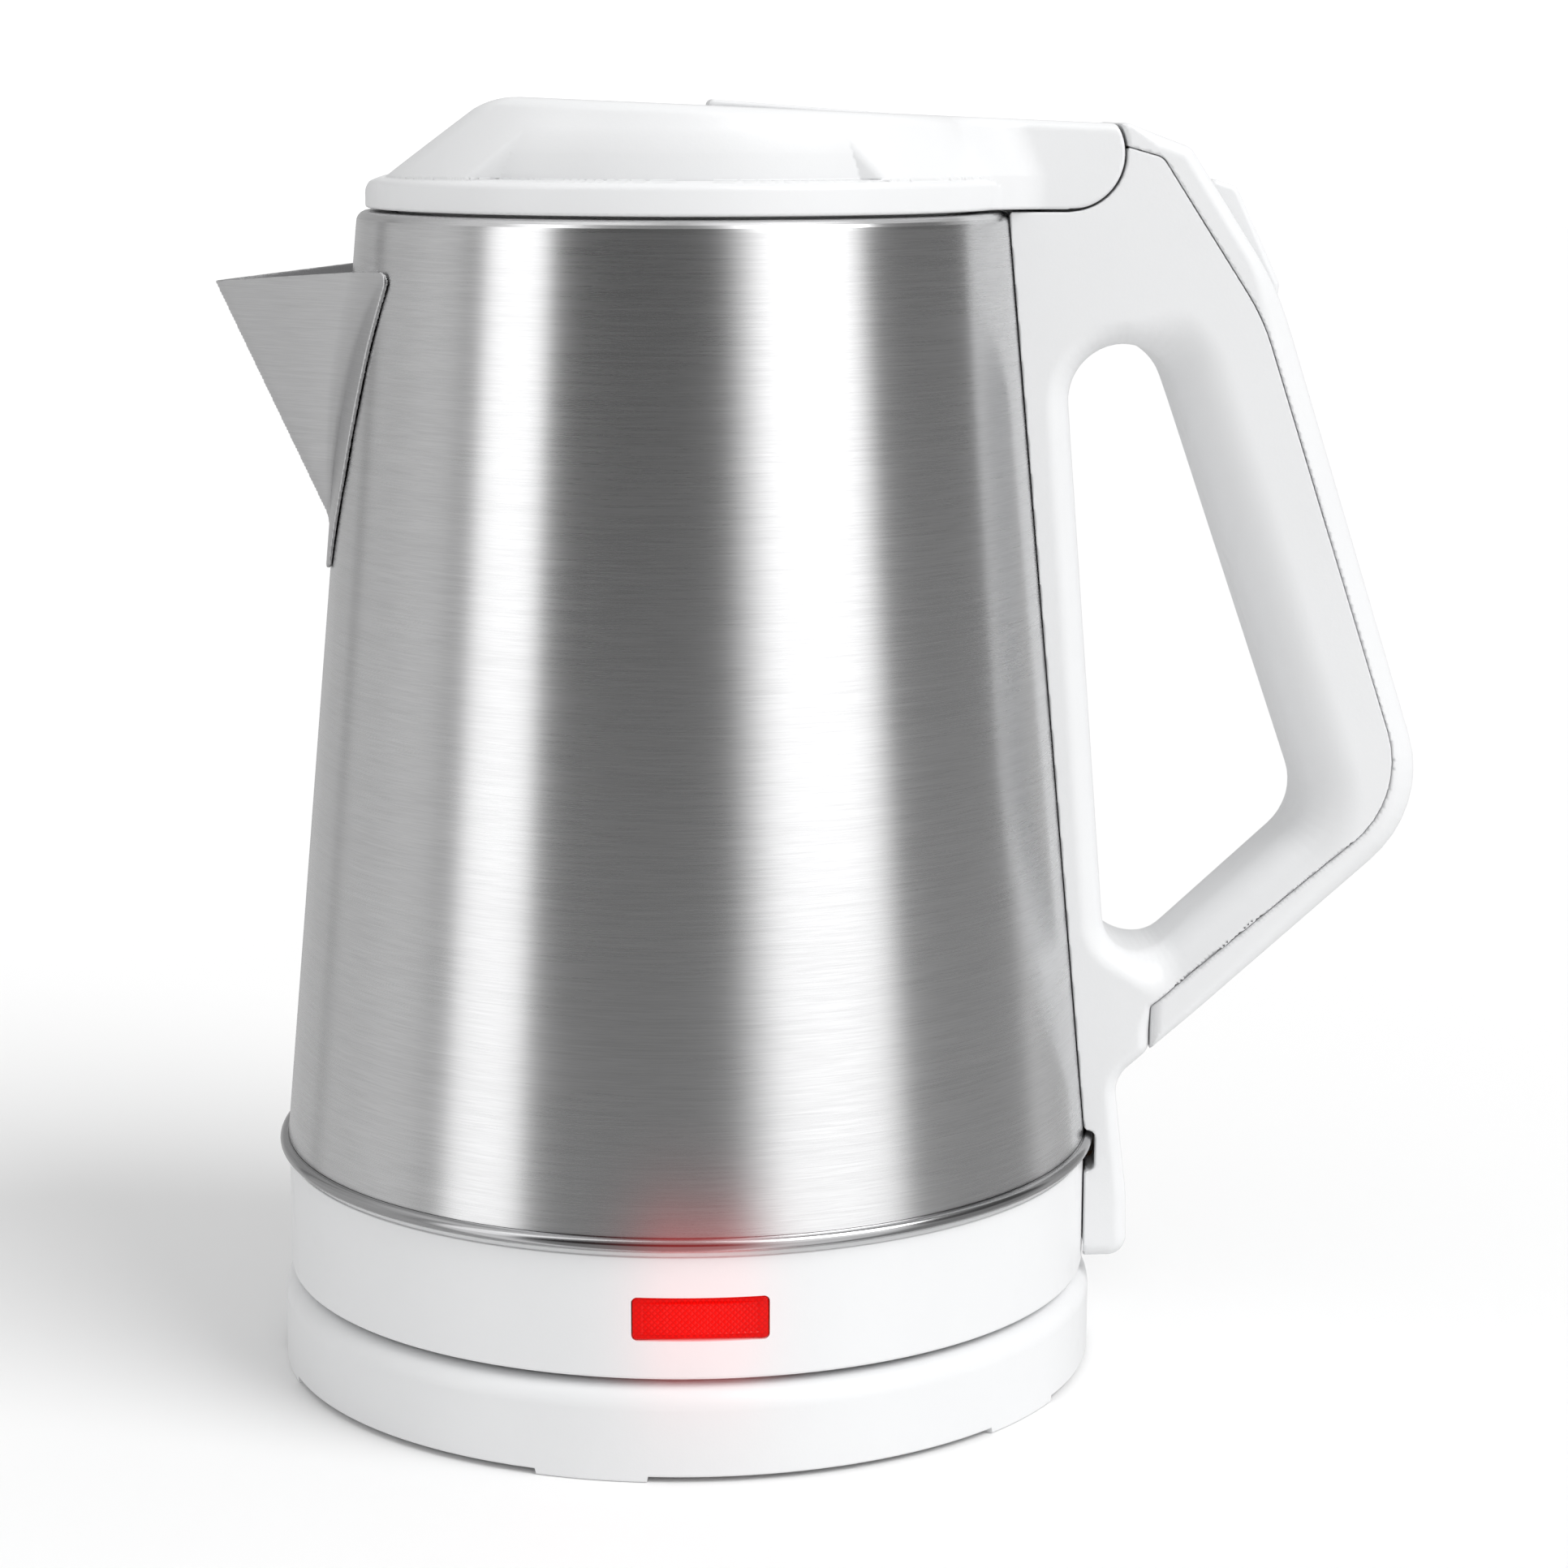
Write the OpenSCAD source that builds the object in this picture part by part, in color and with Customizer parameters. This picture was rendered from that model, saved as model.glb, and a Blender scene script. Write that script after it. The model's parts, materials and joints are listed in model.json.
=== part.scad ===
// Cordless electric kettle: a brushed steel jug with a V spout, on a round power base.
// The origin is on the kettle's vertical axis, in the plane of the table.
// The spout points along -X, the handle along +X and the pilot window along -Y.

/* [Power base] */
// Outer radius of the power base
base_r = 76; // [75:0.5:78]
// Height of the power base's top face above the table
base_top_z = 17; // [16:0.5:17]
// Wall thickness of the base mouldings
base_wall = 2.2; // [1.8:0.1:2.6]
// Angle that each foot of the skirt takes up
foot_angle = 15; // [10:0.5:18]
// Bore radius of the cord gland
gland_bore_r = 3.4; // [3:0.1:3.6]

/* [Jug] */
// Outer radius of the steel wall where it meets the rolled bead
jug_foot_r = 74.9; // [74:0.1:75]
// Outer radius of the steel wall at the rim
jug_rim_r = 58.9; // [58:0.1:59]
// Height of the steel rim
jug_rim_z = 213.2; // [213:0.1:213.4]
// Thickness of the steel sheet
steel_t = 0.6; // [0.5:0.1:0.8]
// Radius of the mouth inside the folded rim
mouth_r = 53.6; // [53.4:0.1:54]
// Outer radius of the rolled bead
bead_r = 76.45; // [76.2:0.05:76.5]

/* [Spout] */
// How far the spout's tip stands from the axis
spout_tip_x = 85.1; // [80:0.1:90]
// Height of the spout's tip
spout_tip_z = 200.5; // [198:0.1:202]
// Height of the lowest point of the spout's keel
spout_keel_z = 155; // [150:1:160]
// Half width of the spout where it meets the jug
spout_half_w = 24; // [22:0.5:26]

/* [Lower collar] */
// Outer radius of the collar under the bead
collar_r = 74.75; // [74.5:0.05:74.9]
// Height of the collar's lower edge
collar_low_z = 18.1; // [18.1:0.1:18.6]
// Width of the pilot window
window_w = 23.4; // [20:0.1:26]
// Height of the pilot window
window_h = 7.4; // [6:0.1:8]

/* [Lid] */
// Outer radius of the lid's skirt
lid_r = 57.4; // [57:0.1:58]
// Wall thickness of the lid shell
lid_wall = 2.2; // [2:0.1:2.4]
// Radius of the barrel at the lid's hinge
barrel_r = 9.7; // [9.5:0.1:9.8]
// Radius of the hinge pin
hinge_pin_r = 1.5; // [1.4:0.1:1.6]

/* [Handle] */
// Width of the handle
handle_w = 30; // [28:0.5:30]
// Wall thickness of the handle mouldings
handle_wall = 2.6; // [2.2:0.1:2.8]
// Width of the on and off lever
lever_w = 17; // [14:0.5:18]

/* [Hidden] */

$fn = 96;
white = "#f2f3f4";
steel = "#b9bbbd";
black = "#26272a";
brass = "#c9a44c";

// Power base
shoulder_r = 4;
skirt_z = 1;
foot_count = 5;
foot_pitch = 65.5;
first_foot = -235.5;
post_r = 16;
post_top_z = 29;
post_hole_r = 17.2;
slot_in_r = 8.9;
slot_out_r = 10.9;
earth_hole_r = 4.1;
boss_ring_r = 66;
boss_angles = [-90, 30, 150];
gland_z = 8.6;

// Jug
bead_z = 42.2;
bead_tube_r = 1.2;
jug_foot_z = 43.4;
rim_fold_r = 2;
steam_hole_z = 203;
steam_hole_r = 4;
fit = 0.2;

// Lid and its hinge
hinge_x = 68.1;
hinge_z = 223.4;
lid_low_z = 213.9;
skirt_top_z = 218.6;
liner_r = 51.5;
liner_low_z = 206;
peak_z = 233.3;
button_back_x = 38;
button_w = 15;
button_pivot = [35.5, 226.6];
ear_in_y = 6.5;
ear_w = 4;
cheek_in_y = 10.9;

// Switch lever, in the slope's own axes: s runs down the slope and h stands out of it
slope_top = [93.7, 218.3];
slope_end = [107.1, 198.1];
slope_angle = atan2(slope_end[1] - slope_top[1], slope_end[0] - slope_top[0]);
slope_len = norm(slope_end - slope_top);
lever_pivot = [12, -5.3];
trunnion_r = 1.5;

function unit(v) = v / norm(v);
function ring(c, r, a0, a1, n) = [for (i = [0:n]) c + r * [cos(a0 + (a1 - a0) * i / n), sin(a0 + (a1 - a0) * i / n)]];
function turned(a, b) = b - a > 180 ? b - 360 : (b - a < -180 ? b + 360 : b);
// The round that takes the place of the corner b between a and c
function corner(a, b, c, r) =
  let (u = unit(a - b), v = unit(c - b), half = acos(u * v) / 2)
  let (m = b + unit(u + v) * r / sin(half), p = b + u * r / tan(half) - m, q = b + v * r / tan(half) - m)
  let (a0 = atan2(p[1], p[0]), a1 = turned(a0, atan2(q[1], q[0])))
  ring(m, r, a0, a1, max(3, ceil(abs(a1 - a0) / 15)));
// An outline whose corners are given as [x, z, radius]
function rounded(k) = [
  for (i = [0:len(k) - 1])
    let (n = len(k), a = k[(i + n - 1) % n], b = k[i], c = k[(i + 1) % n])
    each b[2] > 0 ? corner([a[0], a[1]], [b[0], b[1]], [c[0], c[1]], b[2]) : [[b[0], b[1]]]
];
// Radius of the steel wall's outside at a height
function wall_r(z) = jug_rim_r + (jug_foot_r - jug_rim_r) * (jug_rim_z - z) / (jug_rim_z - jug_foot_z);

// A solid cut from a side view, as wide as w across the kettle
module slab(w) { rotate([90, 0, 0]) linear_extrude(w, center = true) children(); }
module across(x, z, r, w) { translate([x, 0, z]) rotate([90, 0, 0]) cylinder(r = r, h = w, center = true); }
module disc(r, z0, z1) { translate([0, 0, z0]) cylinder(r = r, h = z1 - z0); }
module tube(r_in, r_out, z0, z1) { rotate_extrude() translate([r_in, z0]) square([r_out - r_in, z1 - z0]); }
module jug_cone(gap) {
  translate([0, 0, jug_foot_z - 4])
    cylinder(r1 = wall_r(jug_foot_z - 4) + gap, r2 = wall_r(jug_rim_z + 2) + gap, h = jug_rim_z + 6 - jug_foot_z);
}
// A screw with its head down, standing on z
module screw(x, y, z, length) {
  translate([x, y, z]) cylinder(r = 2.8, h = 1.8);
  translate([x, y, z + 1]) cylinder(r = 1.5, h = length);
}
// A round wire along points, with a ball at each bend
module wire(points, r) {
  for (i = [0:len(points) - 2]) {
    d = points[i + 1] - points[i];
    translate(points[i])
      rotate([0, acos(d[2] / norm(d)), atan2(d[1], d[0])]) cylinder(r = r, h = norm(d));
  }
  for (i = [1:len(points) - 2]) translate(points[i]) sphere(r = r * 1.08);
}
// A coil spring about the z axis, from z = 0 to z = length
module coil(mean_r, wire_r, turns, length, sides = 6, steps = 10) {
  n = turns * steps;
  points = [
    for (i = [0:n], j = [0:sides - 1])
      let (a = 360 * i / steps, b = 360 * j / sides, r = mean_r + wire_r * cos(b))
      [r * cos(a), r * sin(a), wire_r + (length - 2 * wire_r) * i / n + wire_r * sin(b)]
  ];
  sidewalls = [
    for (i = [0:n - 1], j = [0:sides - 1])
      let (k = (j + 1) % sides)
      [i * sides + j, i * sides + k, (i + 1) * sides + k, (i + 1) * sides + j]
  ];
  split = [for (f = sidewalls) each [[f[0], f[2], f[1]], [f[0], f[3], f[2]]]];
  first = [for (j = [0:sides - 1]) j];
  last = [for (j = [0:sides - 1]) n * sides + sides - 1 - j];
  polyhedron(points, concat(split, [first, last]), convexity = 6);
}

// ---------- Power base ----------

module base_housing() {
  inner_r = base_r - base_wall;
  top_in_z = base_top_z - base_wall;
  shell = concat(
    [[post_hole_r, top_in_z], [inner_r - 2, top_in_z], [inner_r, top_in_z - 2], [inner_r, 0], [base_r, 0]],
    ring([base_r - shoulder_r, base_top_z - shoulder_r], shoulder_r, 0, 90, 5),
    [[post_hole_r, base_top_z]]
  );
  color(white) difference() {
    union() {
      rotate_extrude() polygon(shell);
      tube(50, 52, base_top_z - 0.5, collar_low_z + 0.6);
      for (a = boss_angles) rotate([0, 0, a]) translate([boss_ring_r, 0, 4.2]) cylinder(r = 4, h = top_in_z - 3.7);
    }
    for (a = boss_angles) rotate([0, 0, a]) translate([boss_ring_r, 0, 3]) cylinder(r = 1.7, h = 8);
    translate([0, base_r - 5, gland_z]) rotate([-90, 0, 0]) cylinder(r = gland_bore_r + 1.8, h = 12);
    // The skirt stands on its feet, and is a little shorter between them
    for (i = [0:foot_count - 1]) {
      span = i < foot_count - 1 ? foot_pitch : 360 - (foot_count - 1) * foot_pitch;
      rotate([0, 0, first_foot + i * foot_pitch + foot_angle / 2])
        rotate_extrude(angle = span - foot_angle) translate([inner_r - 1, -1]) square([base_wall + 2, skirt_z + 1]);
    }
  }
}

module base_bottom_plate() {
  plate_r = base_r - base_wall - 0.4;
  color(white) difference() {
    union() {
      disc(plate_r, 2, 4);
      tube(58, 61, 0, 2.5);
    }
    for (a = boss_angles) rotate([0, 0, a]) translate([boss_ring_r, 0, 1]) cylinder(r = 1.8, h = 4);
    for (a = boss_angles) rotate([0, 0, a]) translate([boss_ring_r, 0, 1]) cylinder(r = 3.2, h = 1.9);
  }
}

module base_connector() {
  color(black) difference() {
    union() {
      disc(post_r, 12, post_top_z - 1);
      disc(post_r - 1, 12, post_top_z);
      disc(24, 12, base_top_z - base_wall - 0.2);
    }
    disc(earth_hole_r, 20, post_top_z + 1);
    tube(slot_in_r, slot_out_r, 21, post_top_z + 1);
    tube(12.4, 14, 24, post_top_z + 1);
  }
}

module base_contacts() {
  color(brass)
    for (i = [0:2]) rotate([0, 0, 90 + 120 * i]) translate([10, -3.15, 5.6]) cube([0.8, 6.3, 6.2]);
}

module cord_gland() {
  color(white) difference() {
    translate([0, base_r - 9, gland_z]) rotate([-90, 0, 0]) union() {
      cylinder(r = gland_bore_r + 1.5, h = 8.6);
      cylinder(r = gland_bore_r + 2.3, h = 4);
    }
    translate([0, base_r - 10, gland_z]) rotate([-90, 0, 0]) cylinder(r = gland_bore_r, h = 12);
    disc(base_r, 0, 4.2);
  }
}

module base_screws() {
  color(steel) for (a = boss_angles) rotate([0, 0, a]) screw(boss_ring_r, 0, 1.05, 8);
}

// ---------- Coupler under the kettle ----------

module coupler_body() {
  color(black) difference() {
    disc(21, 19.4, 31);
    disc(post_r + 0.6, 19, 29.6);
  }
}

module coupler_pin() {
  color(brass) disc(3.5, 21.5, 29.6);
}

module coupler_rings() {
  color(brass) {
    tube(9.5, 10.3, 23, 29.6);
    tube(12.9, 13.5, 25.5, 29.6);
  }
}

// ---------- Jug ----------

module steel_body() {
  fold = rim_fold_r;
  corner_c = [wall_r(jug_rim_z - fold) - fold, jug_rim_z - fold];
  outside = concat([[wall_r(jug_foot_z), jug_foot_z]], ring(corner_c, fold, 0, 90, 5), [[mouth_r, jug_rim_z]]);
  inside = concat(
    [[mouth_r, jug_rim_z - steel_t]],
    ring(corner_c, fold - steel_t, 90, 0, 5),
    [[wall_r(jug_foot_z) - steel_t, jug_foot_z]]
  );
  color(steel) difference() {
    rotate_extrude() polygon(concat(outside, inside));
    // Strainer holes behind the spout, fewer in each lower row
    for (row = [0:6])
      for (k = [-(6 - row) / 2:(6 - row) / 2])
        translate([-55, k * 5.4, 197.5 - row * 4.7]) rotate([0, -90, 0]) cylinder(r = 1.7, h = 20);
    translate([50, 0, steam_hole_z]) rotate([0, 90, 0]) cylinder(r = steam_hole_r, h = 20);
  }
}

module floor_plate() {
  floor_r = wall_r(jug_foot_z) - steel_t - 0.2;
  color(steel) {
    rotate_extrude() polygon([
      [0, jug_foot_z + 1], [floor_r - 3, jug_foot_z + 1], [floor_r - 1, jug_foot_z - 0.3], [bead_r - bead_tube_r, jug_foot_z - 0.3],
      [bead_r - bead_tube_r, jug_foot_z - 0.9], [floor_r - 1.6, jug_foot_z - 0.9], [floor_r - 3.4, jug_foot_z + 0.4], [0, jug_foot_z + 0.4]
    ]);
    rotate_extrude() translate([bead_r - bead_tube_r, bead_z]) circle(r = bead_tube_r);
  }
}

module diffuser_plate() {
  color("#c8cacc") disc(60, jug_foot_z - 3, jug_foot_z + 0.3);
}

module heating_element() {
  color("#8d8f92") {
    rotate([0, 0, 25]) rotate_extrude(angle = 310) translate([45, jug_foot_z - 6.4]) circle(r = 3.2);
    for (a = [25, 335]) rotate([0, 0, a]) translate([45, 0, 28]) cylinder(r = 1.7, h = 9);
  }
}

module control_body() {
  color(black) difference() {
    disc(26, 31.3, jug_foot_z - 4.2);
    for (s = [-1, 1]) translate([s * 12, 0, jug_foot_z - 5.4]) cylinder(r = 9.6, h = 2);
  }
}

module bimetal_discs() {
  color(brass) for (s = [-1, 1]) translate([s * 12, 0, jug_foot_z - 4.6]) cylinder(r = 9, h = 0.5);
}

// The solid between the spout's two flat walls: it narrows from inside the jug to the tip
module spout_wedge() {
  tip = [-spout_tip_x, 0, spout_tip_z];
  keel = [-wall_r(spout_keel_z), 0, spout_keel_z];
  side = [-53, spout_half_w + 3, 203.6];
  far_keel = tip + 2 * (keel - tip);
  far_side = tip + 1.9 * (side - tip);
  polyhedron(
    points = [tip, far_keel, far_side, [far_side[0], -far_side[1], far_side[2]]],
    faces = [[0, 1, 2], [0, 3, 1], [0, 2, 3], [1, 3, 2]]
  );
}

module spout() {
  flange_out = [[-31, 203], [-29.5, 198], [-8, 150], [8, 150], [29.5, 198], [31, 203]];
  flange_in = [[-26.9, 206], [0, 157.2], [26.9, 206]];
  sheet_shift = 1.32;
  ridge = [spout_tip_x - wall_r(spout_keel_z), 0, spout_keel_z - spout_tip_z];
  color(steel) {
    difference() {
      spout_wedge();
      translate([sheet_shift, 0, 0] - 0.2 * ridge) spout_wedge();
      jug_cone(0.25);
    }
    intersection() {
      difference() {
        jug_cone(0.75);
        jug_cone(0.1);
      }
      translate([-40, 0, 0]) rotate([90, 0, -90]) linear_extrude(40) difference() {
        polygon(flange_out);
        polygon(flange_in);
      }
    }
  }
}

// ---------- Collar and underside of the kettle ----------

module window_cut(grow, y0, y1) {
  translate([-window_w / 2 - grow, y0, 28.9 - window_h / 2 - grow])
    cube([window_w + 2 * grow, y1 - y0, window_h + 2 * grow]);
}

module lower_collar() {
  collar_top_z = bead_z - bead_tube_r - fit;
  color(white) difference() {
    union() {
      tube(collar_r - 2.2, collar_r, collar_low_z, collar_top_z);
      tube(collar_r - 4, collar_r - 2, 22.2, 24);
    }
    window_cut(0.1, -80, -60);
    translate([70, -8, 33]) cube([10, 16, 5]);
  }
}

module bottom_cover() {
  cover_r = collar_r - 2.4;
  color(white) difference() {
    union() {
      disc(cover_r, 19.2, 21.9);
      for (a = boss_angles) rotate([0, 0, a + 60]) translate([40, 0, 21]) cylinder(r = 4.2, h = 7);
    }
    disc(21.3, 18, 24);
    for (a = boss_angles) rotate([0, 0, a + 60]) translate([40, 0, 18]) cylinder(r = 1.7, h = 9);
    for (a = boss_angles) rotate([0, 0, a + 60]) translate([40, 0, 18]) cylinder(r = 3.2, h = 3.1);
  }
}

module bottom_screws() {
  color(steel) for (a = boss_angles) rotate([0, 0, a + 60]) screw(40, 0, 19.25, 5.8);
}

module window_lens() {
  color([0.85, 0.05, 0.04, 0.8]) intersection() {
    tube(collar_r - 2.4, collar_r - 0.15, 20, 38);
    window_cut(-0.1, -80, -60);
  }
}

module indicator_lamp() {
  color([1, 0.5, 0.35]) translate([0, -68.4, 28.9]) rotate([0, 90, 0]) cylinder(r = 2.6, h = 13, center = true);
}

// ---------- Handle ----------

// The hole that the fingers go through
function finger_loop() = rounded([
  [68.0, 189.6, 8.6], [85.6, 189.6, 8.6], [115.8, 102.9, 11], [78.0, 68.3, 7.7]
]);
// Side view of the main moulding: head, grip, lower arm and the strip with its tail
function body_outline() = concat(
  ring([hinge_x, hinge_z], barrel_r + 0.5, -90, 7, 6),
  [[84.6, 222.8]],
  [for (p = corner([84.6, 222.8], [103.2, 194.4], [132.4, 106.5], 30)) p],
  [for (p = corner([103.2, 194.4], [132.4, 106.5], [85.6, 67.4], 19)) p],
  [[85.6, 67.4], [85.6, 58.8]],
  [for (p = corner([85.6, 58.8], [79.3, 53.4], [80.9, 40], 6)) p],
  [for (p = corner([79.3, 53.4], [81.9, 31], [82.1, 19.1], 40)) p],
  [for (p = corner([81.9, 31], [82.1, 19.1], [70, 19.1], 3.6)) p],
  [[72, 19.1], [72, 40], [54, 212.9]]
);
// Side view of the handle's outside, over the cover
function back_outline() = concat(
  [[78.6, 229.2]],
  [for (p = corner([78.6, 229.2], [89.9, 224.4], [107.1, 198.1], 3)) p],
  [for (p = corner([89.9, 224.4], [107.1, 198.1], [137.9, 103.7], 60)) p],
  [for (p = corner([107.1, 198.1], [137.9, 103.7], [85.6, 58.8], 22)) p],
  [[85.6, 58.8]]
);
// The hollow of the handle, open at the back under the cover
function handle_hollow() = concat(
  [[83.2, 228], [81.6, 213], [74, 204.5], [71.5, 194.5], [87.5, 194.0]],
  [[91.6, 183], [115.3, 114.2]],
  [for (p = corner([115.3, 114.2], [119.3, 102.6], [93.6, 79.0], 8)) p],
  [[93.6, 79.0], [89.2, 72.9], [88.6, 66], [140, 98], [140, 120], [104, 214]]
);

module in_slope_axes() {
  translate([slope_top[0], 0, slope_top[1]]) rotate([0, -slope_angle, 0]) children();
}

module handle_body() {
  ear_y = ear_in_y + ear_w / 2;
  color(white) {
    difference() {
      slab(handle_w) difference() {
        polygon(body_outline());
        polygon(finger_loop());
      }
      slab(handle_w - 2 * handle_wall) polygon(handle_hollow());
      jug_cone(fit);
      disc(collar_r + 0.5, 0, bead_z + 1);
      rotate_extrude() translate([bead_r - bead_tube_r, bead_z]) circle(r = bead_tube_r + 1.3);
      translate([55, 0, steam_hole_z]) rotate([0, 90, 0]) cylinder(r = steam_hole_r + 0.1, h = 30);
      // Duct for the wires, from the underside up to the lower arm
      translate([70, -6, 33.2]) cube([7, 12, 4.6]);
      translate([76, -6, 33.2]) cube([3, 12, 30]);
      translate([74.7, -6.2, 63]) rotate([0, 50, 0]) cube([6, 12.4, 22]);
      // Screw that pulls the handle on to its bracket
      translate([58, 0, 195]) rotate([0, 90, 0]) cylinder(r = 1.65, h = 14);
      translate([70.1, 0, 195]) rotate([0, 90, 0]) cylinder(r = 2.9, h = 6);
      translate([59.4, -8.2, 190]) cube([3.2, 16.4, 10]);
    }
    for (s = [-1, 1]) translate([0, s * ear_y, 0]) difference() {
      union() {
        across(hinge_x, hinge_z, 4, ear_w);
        translate([hinge_x - 4, -ear_w / 2, 210.5]) cube([8, ear_w, hinge_z - 210.5]);
      }
      across(hinge_x, hinge_z, hinge_pin_r + 0.04, ear_w + 1);
    }
  }
}

module handle_cover() {
  color(white) {
    difference() {
      slab(handle_w - 1) difference() {
        polygon(concat(back_outline(), [[85.6, 90], [64, 150], [78.4, 216]]));
        offset(delta = 0.15) polygon(body_outline());
      }
      // The cover is a tray: hollow from the seam to near its back
      slab(handle_w - 2 * handle_wall - 1) polygon([
        [83.4, 220], [86.3, 223.2], [104.9, 194.4], [133.2, 108.6], [92, 69], [88.6, 64.5], [88, 72], [124, 104], [100, 190]
      ]);
      in_slope_axes() translate([-0.9, -lever_w / 2 - 0.35, -9]) cube([slope_len + 1.4, lever_w + 0.7, 16]);
    }
    // Lugs that carry the lever's trunnions
    in_slope_axes() for (s = [-1, 1]) translate([lever_pivot[0], s * (lever_w / 2 + 1.9), lever_pivot[1]]) difference() {
      translate([-3.2, -1.2, -3.2]) cube([6.4, 2.4, 7]);
      rotate([90, 0, 0]) cylinder(r = trunnion_r + 0.05, h = 4, center = true);
    }
  }
}

module switch_lever() {
  top = concat(
    [[0.1, 0.2]],
    ring([4.4, 0.2], 3.4, 150, 84, 5),
    [[23.2, 1.1]],
    [[24.3, 0.2]]
  );
  color(white) in_slope_axes() {
    difference() {
      slab(lever_w) polygon(concat(top, [[22.4, -3], [14.6, -6.6], [9.4, -6.6], [1.4, -3]]));
      slab(lever_w - 3.4) polygon([[4, -0.6], [20.5, -1.4], [19.5, -8], [4, -8]]);
    }
    translate([lever_pivot[0], 0, lever_pivot[1]]) rotate([90, 0, 0]) cylinder(r = trunnion_r, h = lever_w + 5.6, center = true);
  }
}

module handle_bracket() {
  color(steel) difference() {
    translate([60.4, -8, 190.4]) cube([2, 16, 8.4]);
    jug_cone(0.1);
    translate([55, 0, 195]) rotate([0, 90, 0]) cylinder(r = 1.6, h = 10);
  }
}

module handle_screws() {
  color(steel) {
    translate([60.9, 0, 195]) rotate([0, 90, 0]) cylinder(r = 1.5, h = 9.6);
    translate([72.2, 0, 195]) rotate([0, -90, 0]) cylinder(r = 2.6, h = 1.9);
  }
}

module steam_seal() {
  color("#d9dadb") translate([0, 0, steam_hole_z]) rotate([0, 90, 0]) difference() {
    translate([0, 0, 57]) cylinder(r = steam_hole_r - 0.1, h = 16);
    translate([0, 0, 56]) cylinder(r = steam_hole_r - 1.4, h = 18);
  }
}

module steam_switch() {
  color(black) in_slope_axes() translate([4.5, -8, -16.2]) cube([15, 16, 7]);
}

module steam_bimetal() {
  color(brass) in_slope_axes() translate([12, 0, -17.1]) cylinder(r = 6.5, h = 0.6);
}

module handle_wires() {
  for (k = [-1, 0, 1]) color(["#7a4a2a", "#2a5aa8", "#6a9a3a"][k + 1])
    wire([
      [97, 4 * k, 199], [106, 4 * k, 176], [122.5, 4 * k, 121], [123.2, 4 * k, 106], [119.2, 4 * k, 100],
      [92.5, 4 * k, 75.6], [77.6, 4 * k, 62.5], [77.6, 4 * k, 36], [71, 4 * k, 35.4]
    ], 0.9);
}

module hinge_pin() {
  color(steel) across(hinge_x, hinge_z, hinge_pin_r, 2 * cheek_in_y + 5.6);
}

// ---------- Lid ----------

// Side view of the lid: front slope, top face and the round of the hinge barrel
function lid_side(inset) = concat(
  [[-lid_r - 1, lid_low_z - 1], [-lid_r - 1, 216.2 - inset * 0.6]],
  [[-36.6 + inset * 0.5, 231.6 - inset * 1.1], [-31.6 + inset * 0.3, peak_z - inset]],
  [[4, 231.1 - inset], [button_back_x, 230.1 - inset], [76.6 - inset, 228.7 - inset]],
  ring([hinge_x, hinge_z], barrel_r - inset, 30, -90, 8),
  [[hinge_x, lid_low_z - 1]]
);
function lid_wall_profile() = [
  [0, lid_low_z - 1], [lid_r, lid_low_z - 1], [lid_r, skirt_top_z], [56.2, skirt_top_z + 1.2], [50.6, 234], [0, 234]
];

// The hollow stays inside the finger recesses, with a step for the liner's flange
function lid_hollow_profile() = [
  [0, lid_low_z - 1], [lid_r - lid_wall, lid_low_z - 1], [lid_r - lid_wall, 216.3], [51.6, 217.3], [48.2, 234], [0, 234]
];

module lid_outside(inset) {
  intersection() {
    union() {
      rotate_extrude() polygon(inset > 0 ? lid_hollow_profile() : lid_wall_profile());
      translate([40, -handle_w / 2 + inset, lid_low_z - 1]) cube([40, handle_w - 2 * inset, 24]);
    }
    slab(130) polygon(lid_side(inset));
  }
}

module grip_recess() {
  difference() {
    slab(130) polygon([[-29, 226.3], [26, 226.3], [33, 219.5], [-37.8, 219.5]]);
    disc(53.5, 215, 230);
  }
}

module lid_shell() {
  color(white) {
    difference() {
      lid_outside(0);
      translate([0, 0, lid_low_z - 5]) cube([200, 200, 10], center = true);
      difference() {
        lid_outside(lid_wall);
        // The underside of the hinge block and its two cheeks stay solid
        translate([54.9, -20, lid_low_z - 2]) cube([40, 40, 4]);
        for (s = [-1, 1]) translate([58, s * (cheek_in_y + 5) - 5, 205]) cube([30, 10, 40]);
      }
      grip_recess();
      // Slots in the barrel that swing past the ears
      for (s = [-1, 1]) translate([hinge_x - 4.5, s * (ear_in_y + ear_w / 2) - ear_w / 2 - 0.4, hinge_z - 14])
        cube([18.5, ear_w + 0.8, 18.5]);
      for (s = [-1, 1]) translate([0, s * (ear_in_y + ear_w / 2), 0]) across(hinge_x, hinge_z, 4.6, ear_w + 0.8);
      across(hinge_x, hinge_z, hinge_pin_r + 0.05, 2 * cheek_in_y + 6);
      translate([3.4, -button_w / 2 - 0.4, 224]) cube([button_back_x - 3, button_w + 0.8, 12]);
    }
    // Low spine that carries the button's line on to the hinge
    intersection() {
      slab(button_w) polygon([[button_back_x + 0.4, 229], [button_back_x + 0.4, 230.5], [66, 229.1], [66, 228.4]]);
      translate([button_back_x, -10, 220]) cube([40, 20, 20]);
    }
    // Carriers for the button's pivot, under the top wall
    for (s = [-1, 1]) translate([0, s * (button_w / 2 + 1.9), 0]) difference() {
      translate([button_pivot[0] - 2.6, -1.2, button_pivot[1] - 2.6]) cube([5.2, 2.4, 5.2]);
      across(button_pivot[0], button_pivot[1], 1.05, 4);
    }
  }
}

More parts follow.
